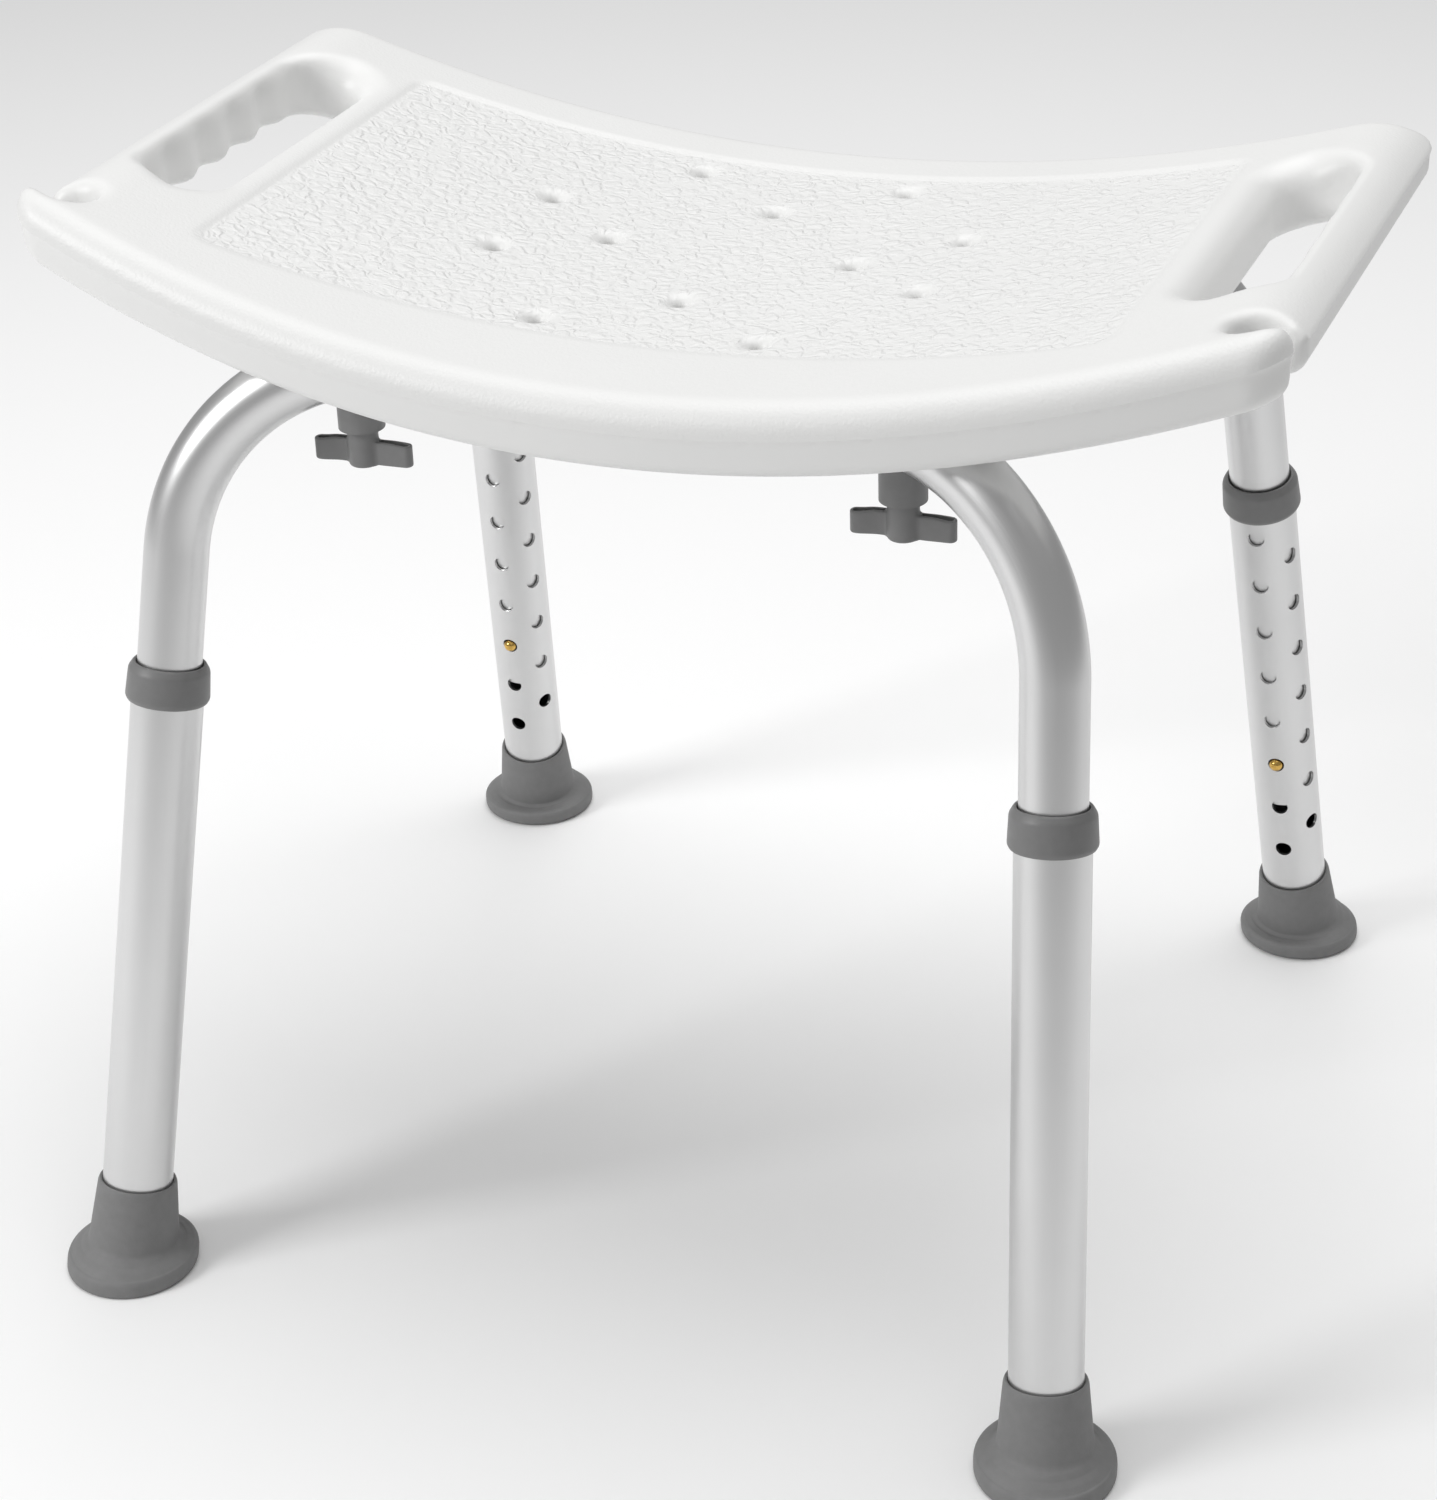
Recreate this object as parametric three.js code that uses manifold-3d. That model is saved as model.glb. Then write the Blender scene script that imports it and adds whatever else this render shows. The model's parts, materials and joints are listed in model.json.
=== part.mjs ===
// Shower stool: a saddle-shaped moulded seat on two bent tube frames, with four telescopic legs.
// Millimetres, +Z up. The origin is on the floor under the middle of the stool.
// +X runs along the seat's long side to the right, +Y runs to the back.
import * as THREE from "three";
import { mergeVertices } from "three/addons/utils/BufferGeometryUtils.js";
import Module from "manifold-3d";

const wasm = await Module();
wasm.setup();

// ---- clearances -------------------------------------------------------------------------------
const TOUCH_GAP = 0.3; // between two pieces that touch on the real stool
const SLIDE_GAP = 0.35; // radial, between the telescopic tubes
const HOLE_GAP = 0.6; // radial, round a pin or a stud in its hole

// ---- seat -------------------------------------------------------------------------------------
const SEAT_HALF_LENGTH = 249;
const SEAT_BACK = 131;
const SEAT_FRONT_MIDDLE = SEAT_BACK + 23; // how far the bowed front edge stands out at the middle
const SEAT_FRONT_END = SEAT_BACK - 9; // and at its two ends
const SEAT_CORNER = 14;
const SEAT_TOP = 390.3; // height of the top surface at the middle
const SEAT_THICKNESS = 28;
const SADDLE = 0.0007; // the surface rises by this times x squared
const RECESS_HALF_LENGTH = SEAT_HALF_LENGTH - 67.4;
const RECESS_HALF_WIDTH = SEAT_BACK - 29.4;
const RECESS_DEPTH = 1;
const DRAIN_RADIUS = 3.2;
const DRAIN_INNER = 51; // distance of the four inner drain holes from the middle
const DRAIN_SIDE = { x: 87.6, y: 28.7 };
const DRAIN_CORNER = { x: 44.7, y: 85.1 };

// ---- hand holds and shower-head notches at the two ends -----------------------------------------
const SLOT_INNER = SEAT_HALF_LENGTH - 52; // from the middle to the near wall of the hand hold
const SLOT_WIDTH = 34;
const SLOT_FRONT = 62 - SEAT_FRONT_END;
const SLOT_BACK = SEAT_BACK - 45;
const SLOT_CORNER = 15;
const FINGERS = 4;
const FINGER_PITCH = 26;
const FINGER_DEPTH = 3;
const NOTCH_Y = 23 - SEAT_FRONT_END;
const NOTCH_RADIUS = 11;
const NOTCH_INSET = 15; // from the end face to the notch's centre
const NOTCH_MOUTH = 15;

// ---- legs -------------------------------------------------------------------------------------
const FOOT_X = SEAT_HALF_LENGTH - 52; // where a leg's axis meets the floor
const FOOT_Y = SEAT_BACK + 74.7;
const SPLAY_X = 0.068; // how far the leg leans out per unit of height
const SPLAY_Y = 0.212;
const OUTER_TUBE = { radius: 14.3, wall: 1.25 };
const INNER_TUBE = { radius: OUTER_TUBE.radius - OUTER_TUBE.wall - SLIDE_GAP, wall: 1.2 };
const BEND_RADIUS = 84.5;
const BEND_START = SEAT_TOP + 2.2 - BEND_RADIUS; // along the leg, where the upper tube begins to bend
const LEG_TOP = BEND_START - 50; // along the leg from the floor
const COLLAR_BOTTOM = LEG_TOP - 11.5;
const COLLAR_TOP = LEG_TOP + 4.5;
const COLLAR_WALL = 2.1;
const COLLAR_CHAMFER = 1;
const COLLAR_TAPER = 0.8;
const HOLE_PITCH = 25;
const LOWEST_HOLE = 62.9;
const HOLES_END = LEG_TOP - 20; // no hole stands higher than this
const HOLE_ROW = Math.floor((HOLES_END - LOWEST_HOLE) / HOLE_PITCH) + 1;
const SECOND_ROW_TURN = THREE.MathUtils.degToRad(60);
const BUTTON_HOLE = 2; // which hole of the row the button stands in
const BUTTON_RADIUS = 3.1;
const BUTTON_REACH = 2.4; // how far it stands out of the outer tube
const BUTTON_TRAVEL = 4;
const BUTTON_FLANGE = { rim: 1, height: 1.5, inset: 1.2 }; // the flange that keeps it in the tube
const BUTTON_DOME = { height: 1.4, crown: 0.4, share: 0.7 };
const BUTTON_PLACE = LOWEST_HOLE + BUTTON_HOLE * HOLE_PITCH;
const LEAF = { length: 42, width: 7, thickness: 0.8 };
const INNER_TUBE_END = BUTTON_PLACE - 24.9; // along the leg, where the upper tube ends inside the lower one

// ---- feet -------------------------------------------------------------------------------------
const FOOT_RADIUS = 27.1;
const FOOT_RIM = 7.5;
const FOOT_FLARE = 16;
const FOOT_NECK_LOW = 18.6;
const FOOT_NECK_HIGH = 15.9;
const FOOT_TOP = 38.6;
const FOOT_FLOOR = 9;
const FOOT_DISC = 1.5;
const FOOT_EDGE = 1;
const FOOT_SLOPE = { out: 3, up: 2 }; // where the pad's shoulder meets the flare
const FOOT_TAPER = 0.8;

// ---- bent frames --------------------------------------------------------------------------------
const BEND_TURN = THREE.MathUtils.degToRad(14); // plan angle of the tube as it leaves the bend
const BEND_DIP = THREE.MathUtils.degToRad(9); // and how steeply it runs down to the middle
const FRAME_REACH = 20; // how far the tube keeps that heading before it swings to the middle
const FRAME_MIDDLE_RUN = 32;
const FRAME_MIDDLE_Z = SEAT_TOP - 23.5;
const CHANNEL_RUN_OUT = 0.5; // how far the seat's channels run past the tube's top, in stations
const BEND_STEPS = 7;
const CROSS_STEPS = 6;

// ---- fasteners ----------------------------------------------------------------------------------
const KNOB_X = FOOT_X - 88;
const KNOB_DROP = 13.1; // from the tube's underside down to the knob's top
const KNOB_HUB = { radius: 6, height: 15 };
const KNOB_WING = { reach: 20, height: 9.5, thickness: 4.2, lift: 0.5 };
const STUD_RADIUS = 3;
const STUD_LIFT = 2; // from the knob's bottom to the stud's
const STUD_SHORT = 1; // from the insert's top down to the stud's
const SADDLE_RADIUS = 9;
const INSERT_RADIUS = 7;
const INSERT_SKIN = 3.5; // plastic left above the threaded insert
const JOIN_BOLT = { radius: 3, head: 5.2, headHeight: 4, washer: 8, washerHeight: 2.4 };

const SIDES_TUBE = 14;
const SIDES_LEG = 16;
const SIDES_SMALL = 8;
const FAR = 600; // longer than anything it cuts

const MATERIALS = {
  seat: new THREE.MeshStandardMaterial({ color: 0xe8e8e6, roughness: 0.45 }),
  tube: new THREE.MeshStandardMaterial({ color: 0xb4b6b8, roughness: 0.32, metalness: 1 }),
  rubber: new THREE.MeshStandardMaterial({ color: 0x6c6e70, roughness: 0.75 }),
  knob: new THREE.MeshStandardMaterial({ color: 0x66686a, roughness: 0.55 }),
  brass: new THREE.MeshStandardMaterial({ color: 0xc9a55a, roughness: 0.25, metalness: 1 }),
  steel: new THREE.MeshStandardMaterial({ color: 0x9a9c9e, roughness: 0.35, metalness: 1 }),
};

const CORNERS = [
  { name: "front_left", x: -1, y: -1 },
  { name: "front_right", x: 1, y: -1 },
  { name: "rear_left", x: -1, y: 1 },
  { name: "rear_right", x: 1, y: 1 },
];

const stool = new THREE.Group();

// ---- solids -------------------------------------------------------------------------------------

/** A closed three.js geometry, moved by a matrix, as a solid that can be cut and joined. */
function solid(geometry, matrix = new THREE.Matrix4()) {
  const bare = geometry.clone().applyMatrix4(matrix);
  bare.deleteAttribute("normal");
  bare.deleteAttribute("uv");
  const merged = mergeVertices(bare, 1e-4);
  return new wasm.Manifold(
    new wasm.Mesh({
      numProp: 3,
      vertProperties: merged.attributes.position.array,
      triVerts: new Uint32Array(merged.index.array),
    }),
  );
}

/** The solid back as a three.js geometry. */
function geometryOf(made) {
  const mesh = made.getMesh();
  const geometry = new THREE.BufferGeometry();
  geometry.setAttribute("position", new THREE.BufferAttribute(mesh.vertProperties, 3));
  geometry.setIndex(new THREE.BufferAttribute(mesh.triVerts, 1));
  geometry.computeVertexNormals();
  return geometry;
}

/** The largest of the separate bodies that a cut leaves. */
function largest(made) {
  return made.decompose().reduce((best, one) => (one.volume() > best.volume() ? one : best));
}

/** Adds one named mesh to a group. */
function addPart(group, name, geometry, material) {
  const mesh = new THREE.Mesh(geometry, material.clone());
  mesh.name = name;
  group.add(mesh);
}

/** A closed ring or rod turned about Z from a profile of [radius, height] points. */
function turned(profile, sides = SIDES_LEG) {
  const points = profile.map(([radius, height]) => new THREE.Vector2(radius, height));
  const geometry = new THREE.LatheGeometry(points, sides);
  geometry.rotateX(Math.PI / 2);
  return geometry;
}

/** A tube wall or, with no inner radius, a rod, along Z from low to high. */
function pipe(radius, inner, low, high, sides = SIDES_LEG) {
  if (inner > 0) {
    return turned([[inner, low], [radius, low], [radius, high], [inner, high], [inner, low]], sides);
  }
  return turned([[0, low], [radius, low], [radius, high], [0, high]], sides);
}

/** A box given by its low and high corners. */
function block(low, high) {
  const box = new THREE.BoxGeometry(high[0] - low[0], high[1] - low[1], high[2] - low[2]);
  box.translate((low[0] + high[0]) / 2, (low[1] + high[1]) / 2, (low[2] + high[2]) / 2);
  return box;
}

/** A plan outline drawn up from one height to another. */
function raised(shape, low, high, curveSegments = 6) {
  const depth = high - low;
  const geometry = new THREE.ExtrudeGeometry(shape, { depth, bevelEnabled: false, curveSegments });
  geometry.translate(0, 0, low);
  return geometry;
}

// ---- the lines that the pieces share --------------------------------------------------------------

/** Height of the seat's top surface over a point x. */
function seatTopAt(x) {
  return SEAT_TOP + SADDLE * x * x;
}

/** Where a leg stands on the floor and the way its axis points. */
function legLine(corner) {
  return {
    base: new THREE.Vector3(corner.x * FOOT_X, corner.y * FOOT_Y, 0),
    axis: new THREE.Vector3(-corner.x * SPLAY_X, -corner.y * SPLAY_Y, 1).normalize(),
  };
}

/** The point at a distance along a leg from the floor. */
function onLeg(corner, distance) {
  const { base, axis } = legLine(corner);
  return base.clone().addScaledVector(axis, distance);
}

/** Turns the leg's own frame, Z along the leg and X to its button, into the stool's frame. */
function legFrame(corner) {
  const { base, axis } = legLine(corner);
  const button = new THREE.Vector3(0, -corner.y, 0);
  button.addScaledVector(axis, -button.dot(axis)).normalize();
  const side = new THREE.Vector3().crossVectors(axis, button);
  return new THREE.Matrix4().makeBasis(button, side, axis).setPosition(base);
}

/** The heading of a frame tube as it leaves the bend above a leg. */
function crossHeading(corner) {
  return new THREE.Vector3(
    -corner.x * Math.cos(BEND_TURN),
    -corner.y * Math.sin(BEND_TURN),
    -Math.tan(BEND_DIP),
  ).normalize();
}

/** Points of the bend above a leg, an arc from the leg's direction to the crossbar's heading. */
function bendPoints(corner) {
  const { axis } = legLine(corner);
  const start = onLeg(corner, BEND_START);
  const heading = crossHeading(corner);
  const inward = heading.clone().addScaledVector(axis, -heading.dot(axis)).normalize();
  const sweep = axis.angleTo(heading);
  return Array.from({ length: BEND_STEPS + 1 }, (_, i) => {
    const angle = (sweep * i) / BEND_STEPS;
    const forward = BEND_RADIUS * Math.sin(angle);
    const sideways = BEND_RADIUS * (1 - Math.cos(angle));
    return start.clone().addScaledVector(axis, forward).addScaledVector(inward, sideways);
  });
}

/** Half the distance between the two frames' centre lines where they are bolted together. */
const FRAME_MIDDLE_Y = INNER_TUBE.radius + TOUCH_GAP;

/** Points of a crossbar's half, from the end of the bend to the middle of the stool. */
function crossPoints(corner) {
  const bend = bendPoints(corner);
  const end = bend[bend.length - 1];
  const lead = end.clone().addScaledVector(crossHeading(corner), FRAME_REACH);
  const middle = new THREE.Vector3(0, corner.y * FRAME_MIDDLE_Y, FRAME_MIDDLE_Z);
  const settle = middle.clone().add(new THREE.Vector3(corner.x * FRAME_MIDDLE_RUN, 0, 0));
  return new THREE.CubicBezierCurve3(end, lead, settle, middle).getPoints(CROSS_STEPS);
}

/** Points of half a frame tube, from its low end in the leg to the middle of the stool. */
function halfFramePoints(corner) {
  return [onLeg(corner, INNER_TUBE_END), ...bendPoints(corner), ...crossPoints(corner).slice(1)];
}

/** Points of a whole frame tube, from the left leg over the middle to the right leg. */
function framePoints(side) {
  const left = halfFramePoints({ x: -1, y: side });
  const right = halfFramePoints({ x: 1, y: side });
  return [...left, ...right.reverse().slice(1)];
}

/** A curve that an extrusion follows station by station, with mitred corners. */
class StationCurve extends THREE.Curve {
  constructor(points) {
    super();
    this.points = points;
  }

  index(t) {
    return Math.round(t * (this.points.length - 1));
  }

  getPoint(t) {
    return this.points[this.index(t)].clone();
  }

  getPointAt(t) {
    return this.getPoint(t);
  }

  getTangentAt(t) {
    const i = this.index(t);
    const before = this.points[Math.max(i - 1, 0)];
    const here = this.points[i];
    const after = this.points[Math.min(i + 1, this.points.length - 1)];
    const arriving = here.clone().sub(before).normalize();
    const leaving = after.clone().sub(here).normalize();
    return arriving.add(leaving).normalize();
  }
}

/** A round tube, or with no wall a round bar, along a row of points. */
function sweptTube(points, radius, wall) {
  const section = new THREE.Shape().absarc(0, 0, radius, 0, 2 * Math.PI);
  if (wall) {
    section.holes.push(new THREE.Path().absarc(0, 0, radius - wall, 0, 2 * Math.PI, true));
  }
  return new THREE.ExtrudeGeometry(section, {
    steps: points.length - 1,
    curveSegments: SIDES_TUBE / 2,
    extrudePath: new StationCurve(points),
  });
}

/** The point of a frame tube's centre line at a distance from the middle along X. */
function tubeAt(corner, x) {
  const points = [...bendPoints(corner), ...crossPoints(corner).slice(1)];
  const i = points.findIndex((point) => Math.abs(point.x) < x);
  const share = (Math.abs(points[i - 1].x) - x) / (Math.abs(points[i - 1].x) - Math.abs(points[i].x));
  return points[i - 1].clone().lerp(points[i], share);
}

/** The point of a frame tube's centre line that lies over a knob. */
function overKnob(corner) {
  return tubeAt(corner, KNOB_X);
}

// ---- seat ---------------------------------------------------------------------------------------

/** The seat's outline in plan, bowed at the front, with rounded corners. */
function seatOutline() {
  const inner = SEAT_HALF_LENGTH - SEAT_CORNER;
  const bow = SEAT_FRONT_MIDDLE - SEAT_FRONT_END;
  const frontAt = (x) => -SEAT_FRONT_MIDDLE + bow * (x / SEAT_HALF_LENGTH) ** 2;
  const frontInner = frontAt(inner);
  const outline = new THREE.Shape();
  outline.moveTo(-inner, frontInner);
  outline.quadraticCurveTo(0, 2 * frontAt(0) - frontInner, inner, frontInner);
  outline.quadraticCurveTo(SEAT_HALF_LENGTH, -SEAT_FRONT_END, SEAT_HALF_LENGTH, SEAT_CORNER - SEAT_FRONT_END);
  outline.lineTo(SEAT_HALF_LENGTH, SEAT_BACK - SEAT_CORNER);
  outline.quadraticCurveTo(SEAT_HALF_LENGTH, SEAT_BACK, inner, SEAT_BACK);
  outline.lineTo(-inner, SEAT_BACK);
  outline.quadraticCurveTo(-SEAT_HALF_LENGTH, SEAT_BACK, -SEAT_HALF_LENGTH, SEAT_BACK - SEAT_CORNER);
  outline.lineTo(-SEAT_HALF_LENGTH, SEAT_CORNER - SEAT_FRONT_END);
  outline.quadraticCurveTo(-SEAT_HALF_LENGTH, -SEAT_FRONT_END, -inner, frontInner);
  return outline;
}

/** Everything between two saddle surfaces, each a height over or under the seat's top. */
function saddleSlab(under, over) {
  const reach = SEAT_HALF_LENGTH + 1;
  const rise = SADDLE * reach * reach;
  const profile = new THREE.Shape();
  profile.moveTo(-reach, SEAT_TOP + rise + under);
  profile.quadraticCurveTo(0, SEAT_TOP - rise + under, reach, SEAT_TOP + rise + under);
  profile.lineTo(reach, SEAT_TOP + rise + over);
  profile.quadraticCurveTo(0, SEAT_TOP - rise + over, -reach, SEAT_TOP + rise + over);
  const slab = new THREE.ExtrudeGeometry(profile, { depth: FAR, bevelEnabled: false, curveSegments: 20 });
  slab.rotateX(Math.PI / 2);
  slab.translate(0, FAR / 2, 0);
  return solid(slab);
}

/** The hand hold through one end, with finger hollows in its outer wall. */
function slotCutter(end) {
  const near = end * SLOT_INNER;
  const far = end * (SLOT_INNER + SLOT_WIDTH);
  const corner = end * SLOT_CORNER;
  const middle = (SLOT_FRONT + SLOT_BACK) / 2;
  const fingerStart = middle - (FINGERS * FINGER_PITCH) / 2;
  const outline = new THREE.Shape();
  outline.moveTo(near + corner, SLOT_FRONT);
  outline.lineTo(far - corner, SLOT_FRONT);
  outline.quadraticCurveTo(far, SLOT_FRONT, far, SLOT_FRONT + SLOT_CORNER);
  outline.lineTo(far, fingerStart);
  for (let i = 0; i < FINGERS; i += 1) {
    const start = fingerStart + i * FINGER_PITCH;
    const crest = start + FINGER_PITCH / 2;
    outline.quadraticCurveTo(far + end * 2 * FINGER_DEPTH, crest, far, start + FINGER_PITCH);
  }
  outline.lineTo(far, SLOT_BACK - SLOT_CORNER);
  outline.quadraticCurveTo(far, SLOT_BACK, far - corner, SLOT_BACK);
  outline.lineTo(near + corner, SLOT_BACK);
  outline.quadraticCurveTo(near, SLOT_BACK, near, SLOT_BACK - SLOT_CORNER);
  outline.lineTo(near, SLOT_FRONT + SLOT_CORNER);
  outline.quadraticCurveTo(near, SLOT_FRONT, near + corner, SLOT_FRONT);
  return solid(raised(outline, 0, FAR, 4));
}

/** The keyhole notch in one end that holds a hand shower. */
function notchCutter(end) {
  const centre = end * (SEAT_HALF_LENGTH - NOTCH_INSET);
  const edge = end * (SEAT_HALF_LENGTH + 1);
  const bore = pipe(NOTCH_RADIUS, 0, 0, FAR);
  bore.translate(centre, NOTCH_Y, 0);
  const mouthLow = [Math.min(centre, edge), NOTCH_Y - NOTCH_MOUTH / 2, 0];
  const mouthHigh = [Math.max(centre, edge), NOTCH_Y + NOTCH_MOUTH / 2, FAR];
  return solid(bore).add(solid(block(mouthLow, mouthHigh)));
}

/** Plan positions of the twelve drain holes. */
function drainPlaces() {
  const places = [];
  for (const sign of [-1, 1]) {
    places.push([0, sign * DRAIN_INNER], [sign * DRAIN_INNER, 0]);
    for (const other of [-1, 1]) {
      places.push([sign * DRAIN_SIDE.x, other * DRAIN_SIDE.y]);
      places.push([sign * DRAIN_CORNER.x, other * DRAIN_CORNER.y]);
    }
  }
  return places;
}

/** The channel in the seat's underside that one frame tube lies in. */
function channelCutter(side) {
  const half = INNER_TUBE.radius + TOUCH_GAP;
  const points = framePoints(side);
  const reaches = (point) => point.z + 2 * half > seatTopAt(point.x) - SEAT_THICKNESS;
  const first = points.findIndex(reaches);
  const last = points.findLastIndex(reaches);
  const path = [
    points[first].clone().lerp(points[first - 1], CHANNEL_RUN_OUT),
    ...points.slice(first, last + 1),
    points[last].clone().lerp(points[last + 1], CHANNEL_RUN_OUT),
  ];
  const left = [];
  const right = [];
  path.forEach((point, i) => {
    const before = path[Math.max(i - 1, 0)];
    const after = path[Math.min(i + 1, path.length - 1)];
    const along = new THREE.Vector2(after.x - before.x, after.y - before.y).normalize();
    left.push(new THREE.Vector2(point.x - along.y * half, point.y + along.x * half));
    right.push(new THREE.Vector2(point.x + along.y * half, point.y - along.x * half));
  });
  const ribbon = new THREE.Shape([...right, ...left.reverse()]);
  return solid(raised(ribbon, 0, FAR));
}

/** How far the channels' roof lies under the seat's top: it just clears the highest stretch of tube. */
function channelRoof() {
  const depths = framePoints(1).map((point) => seatTopAt(point.x) - point.z);
  return Math.min(...depths) - INNER_TUBE.radius - 2 * TOUCH_GAP;
}

/** Distances from the middle, along Y, at which the pieces of the centre bolt begin and end. */
function joinStations() {
  const tubeSide = 2 * FRAME_MIDDLE_Y - TOUCH_GAP;
  const washerFace = tubeSide + JOIN_BOLT.washerHeight;
  const headFace = washerFace + TOUCH_GAP;
  const headEnd = headFace + JOIN_BOLT.headHeight;
  return { tubeSide, washerFace, headFace, headEnd, shankEnd: headEnd + JOIN_BOLT.radius };
}

/** The pocket under the seat's middle that clears the bolt joining the frames. */
function middlePocket() {
  const reach = joinStations().shankEnd + 2 * TOUCH_GAP;
  const width = JOIN_BOLT.washer + 4 * TOUCH_GAP;
  return solid(block([-width, -reach, 0], [width, reach, FAR]));
}

/** Top of the threaded insert over a knob. */
function insertTop() {
  return seatTopAt(KNOB_X) - INSERT_SKIN;
}

/** Foot of the insert: just over the highest stretch of tube under it. */
function insertFoot(corner) {
  const stretch = [-INSERT_RADIUS, 0, INSERT_RADIUS].map((step) => tubeAt(corner, KNOB_X + step).z);
  return Math.max(...stretch) + INNER_TUBE.radius + 3 * TOUCH_GAP;
}

/** The knob's top, a saddle washer's height under the tube. */
function knobTop(corner) {
  return overKnob(corner).z - INNER_TUBE.radius - KNOB_DROP;
}

/** A rod standing over or under a knob. */
function rodAtKnob(corner, radius, low, high, sides = SIDES_SMALL) {
  const place = overKnob(corner);
  const rod = pipe(radius, 0, low, high, sides);
  rod.translate(place.x, place.y, 0);
  return solid(rod);
}

function buildSeat() {
  let seat = solid(raised(seatOutline(), 0, FAR, 12)).intersect(saddleSlab(-SEAT_THICKNESS, 0));
  const floor = [-RECESS_HALF_LENGTH, -RECESS_HALF_WIDTH, 0];
  const ceiling = [RECESS_HALF_LENGTH, RECESS_HALF_WIDTH, FAR];
  seat = seat.subtract(solid(block(floor, ceiling)).intersect(saddleSlab(-RECESS_DEPTH, SEAT_THICKNESS)));
  for (const end of [-1, 1]) {
    seat = seat.subtract(slotCutter(end)).subtract(notchCutter(end));
  }
  for (const [x, y] of drainPlaces()) {
    const hole = pipe(DRAIN_RADIUS, 0, 0, FAR, SIDES_SMALL);
    hole.translate(x, y, 0);
    seat = seat.subtract(solid(hole));
  }
  const below = saddleSlab(-FAR / 2, -channelRoof());
  for (const side of [-1, 1]) {
    seat = seat.subtract(channelCutter(side).intersect(below));
  }
  seat = seat.subtract(middlePocket().intersect(below));
  for (const corner of CORNERS) {
    seat = seat.subtract(rodAtKnob(corner, INSERT_RADIUS + TOUCH_GAP, 0, insertTop() + TOUCH_GAP, SIDES_LEG));
  }
  addPart(stool, "seat", geometryOf(seat), MATERIALS.seat);
}

// ---- frames ---------------------------------------------------------------------------------------

/** The hole for a snap button, through one wall of the tubes at a distance along the leg. */
function buttonHole(corner, distance, turn = 0) {
  const cutter = pipe(BUTTON_RADIUS + HOLE_GAP, 0, 0, 2 * OUTER_TUBE.radius, SIDES_SMALL);
  cutter.rotateY(Math.PI / 2);
  cutter.rotateZ(turn);
  cutter.translate(0, 0, distance);
  return solid(cutter, legFrame(corner));
}

/** A rod along Y through the place where the two frames meet. */
function joinRod(radius, low, high, sides = SIDES_SMALL) {
  const rod = pipe(radius, 0, low, high, sides);
  rod.rotateX(-Math.PI / 2);
  rod.translate(0, 0, FRAME_MIDDLE_Z);
  return solid(rod);
}

function buildFrames() {
  for (const side of [-1, 1]) {
    let frame = solid(sweptTube(framePoints(side), INNER_TUBE.radius, INNER_TUBE.wall));
    for (const corner of CORNERS.filter((one) => one.y === side)) {
      frame = frame.subtract(buttonHole(corner, BUTTON_PLACE));
      frame = frame.subtract(rodAtKnob(corner, STUD_RADIUS + HOLE_GAP, 0, FAR));
    }
    frame = frame.subtract(joinRod(JOIN_BOLT.radius + HOLE_GAP, -FAR, FAR));
    addPart(stool, side < 0 ? "front_frame" : "rear_frame", geometryOf(frame), MATERIALS.tube);
  }
}

/** The bolt, two saddle washers and the nut that join the frames at the middle. */
function buildJoin() {
  const { tubeSide, washerFace, headFace, headEnd, shankEnd } = joinStations();
  const bore = joinRod(JOIN_BOLT.radius + HOLE_GAP, -FAR, FAR);
  for (const side of [-1, 1]) {
    const low = side < 0 ? -washerFace : tubeSide - JOIN_BOLT.washerHeight;
    const disc = joinRod(JOIN_BOLT.washer, low, low + 2 * JOIN_BOLT.washerHeight, SIDES_LEG);
    const tube = solid(sweptTube(framePoints(side), INNER_TUBE.radius + TOUCH_GAP, 0));
    const washer = largest(disc.subtract(tube).subtract(bore));
    const name = side < 0 ? "join_washer_front" : "join_washer_rear";
    addPart(stool, name, geometryOf(washer), MATERIALS.steel);
  }
  const head = joinRod(JOIN_BOLT.head, -headEnd, -headFace, 6);
  const shank = joinRod(JOIN_BOLT.radius, -headFace - TOUCH_GAP, shankEnd);
  addPart(stool, "join_bolt", geometryOf(head.add(shank)), MATERIALS.steel);
  const nut = joinRod(JOIN_BOLT.head, headFace, headEnd, 6).subtract(bore);
  addPart(stool, "join_nut", geometryOf(nut), MATERIALS.steel);
}

// ---- legs -----------------------------------------------------------------------------------------

/** Two rows of height holes: one in line with the button, one turned round and half a pitch up. */
function legHoles(corner) {
  const cutters = [];
  for (let i = 0; i < HOLE_ROW; i += 1) {
    cutters.push(buttonHole(corner, LOWEST_HOLE + i * HOLE_PITCH));
  }
  for (let i = 0; i < HOLE_ROW - 1; i += 1) {
    cutters.push(buttonHole(corner, LOWEST_HOLE + (i + 0.5) * HOLE_PITCH, SECOND_ROW_TURN));
  }
  return cutters;
}

function buildLowerTube(corner) {
  const inner = OUTER_TUBE.radius - OUTER_TUBE.wall;
  const bottom = FOOT_FLOOR + FOOT_DISC + 2 * TOUCH_GAP;
  let tube = solid(pipe(OUTER_TUBE.radius, inner, bottom, LEG_TOP), legFrame(corner));
  for (const cutter of legHoles(corner)) {
    tube = tube.subtract(cutter);
  }
  addPart(stool, "lower_leg_" + corner.name, geometryOf(tube), MATERIALS.tube);
}

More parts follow.
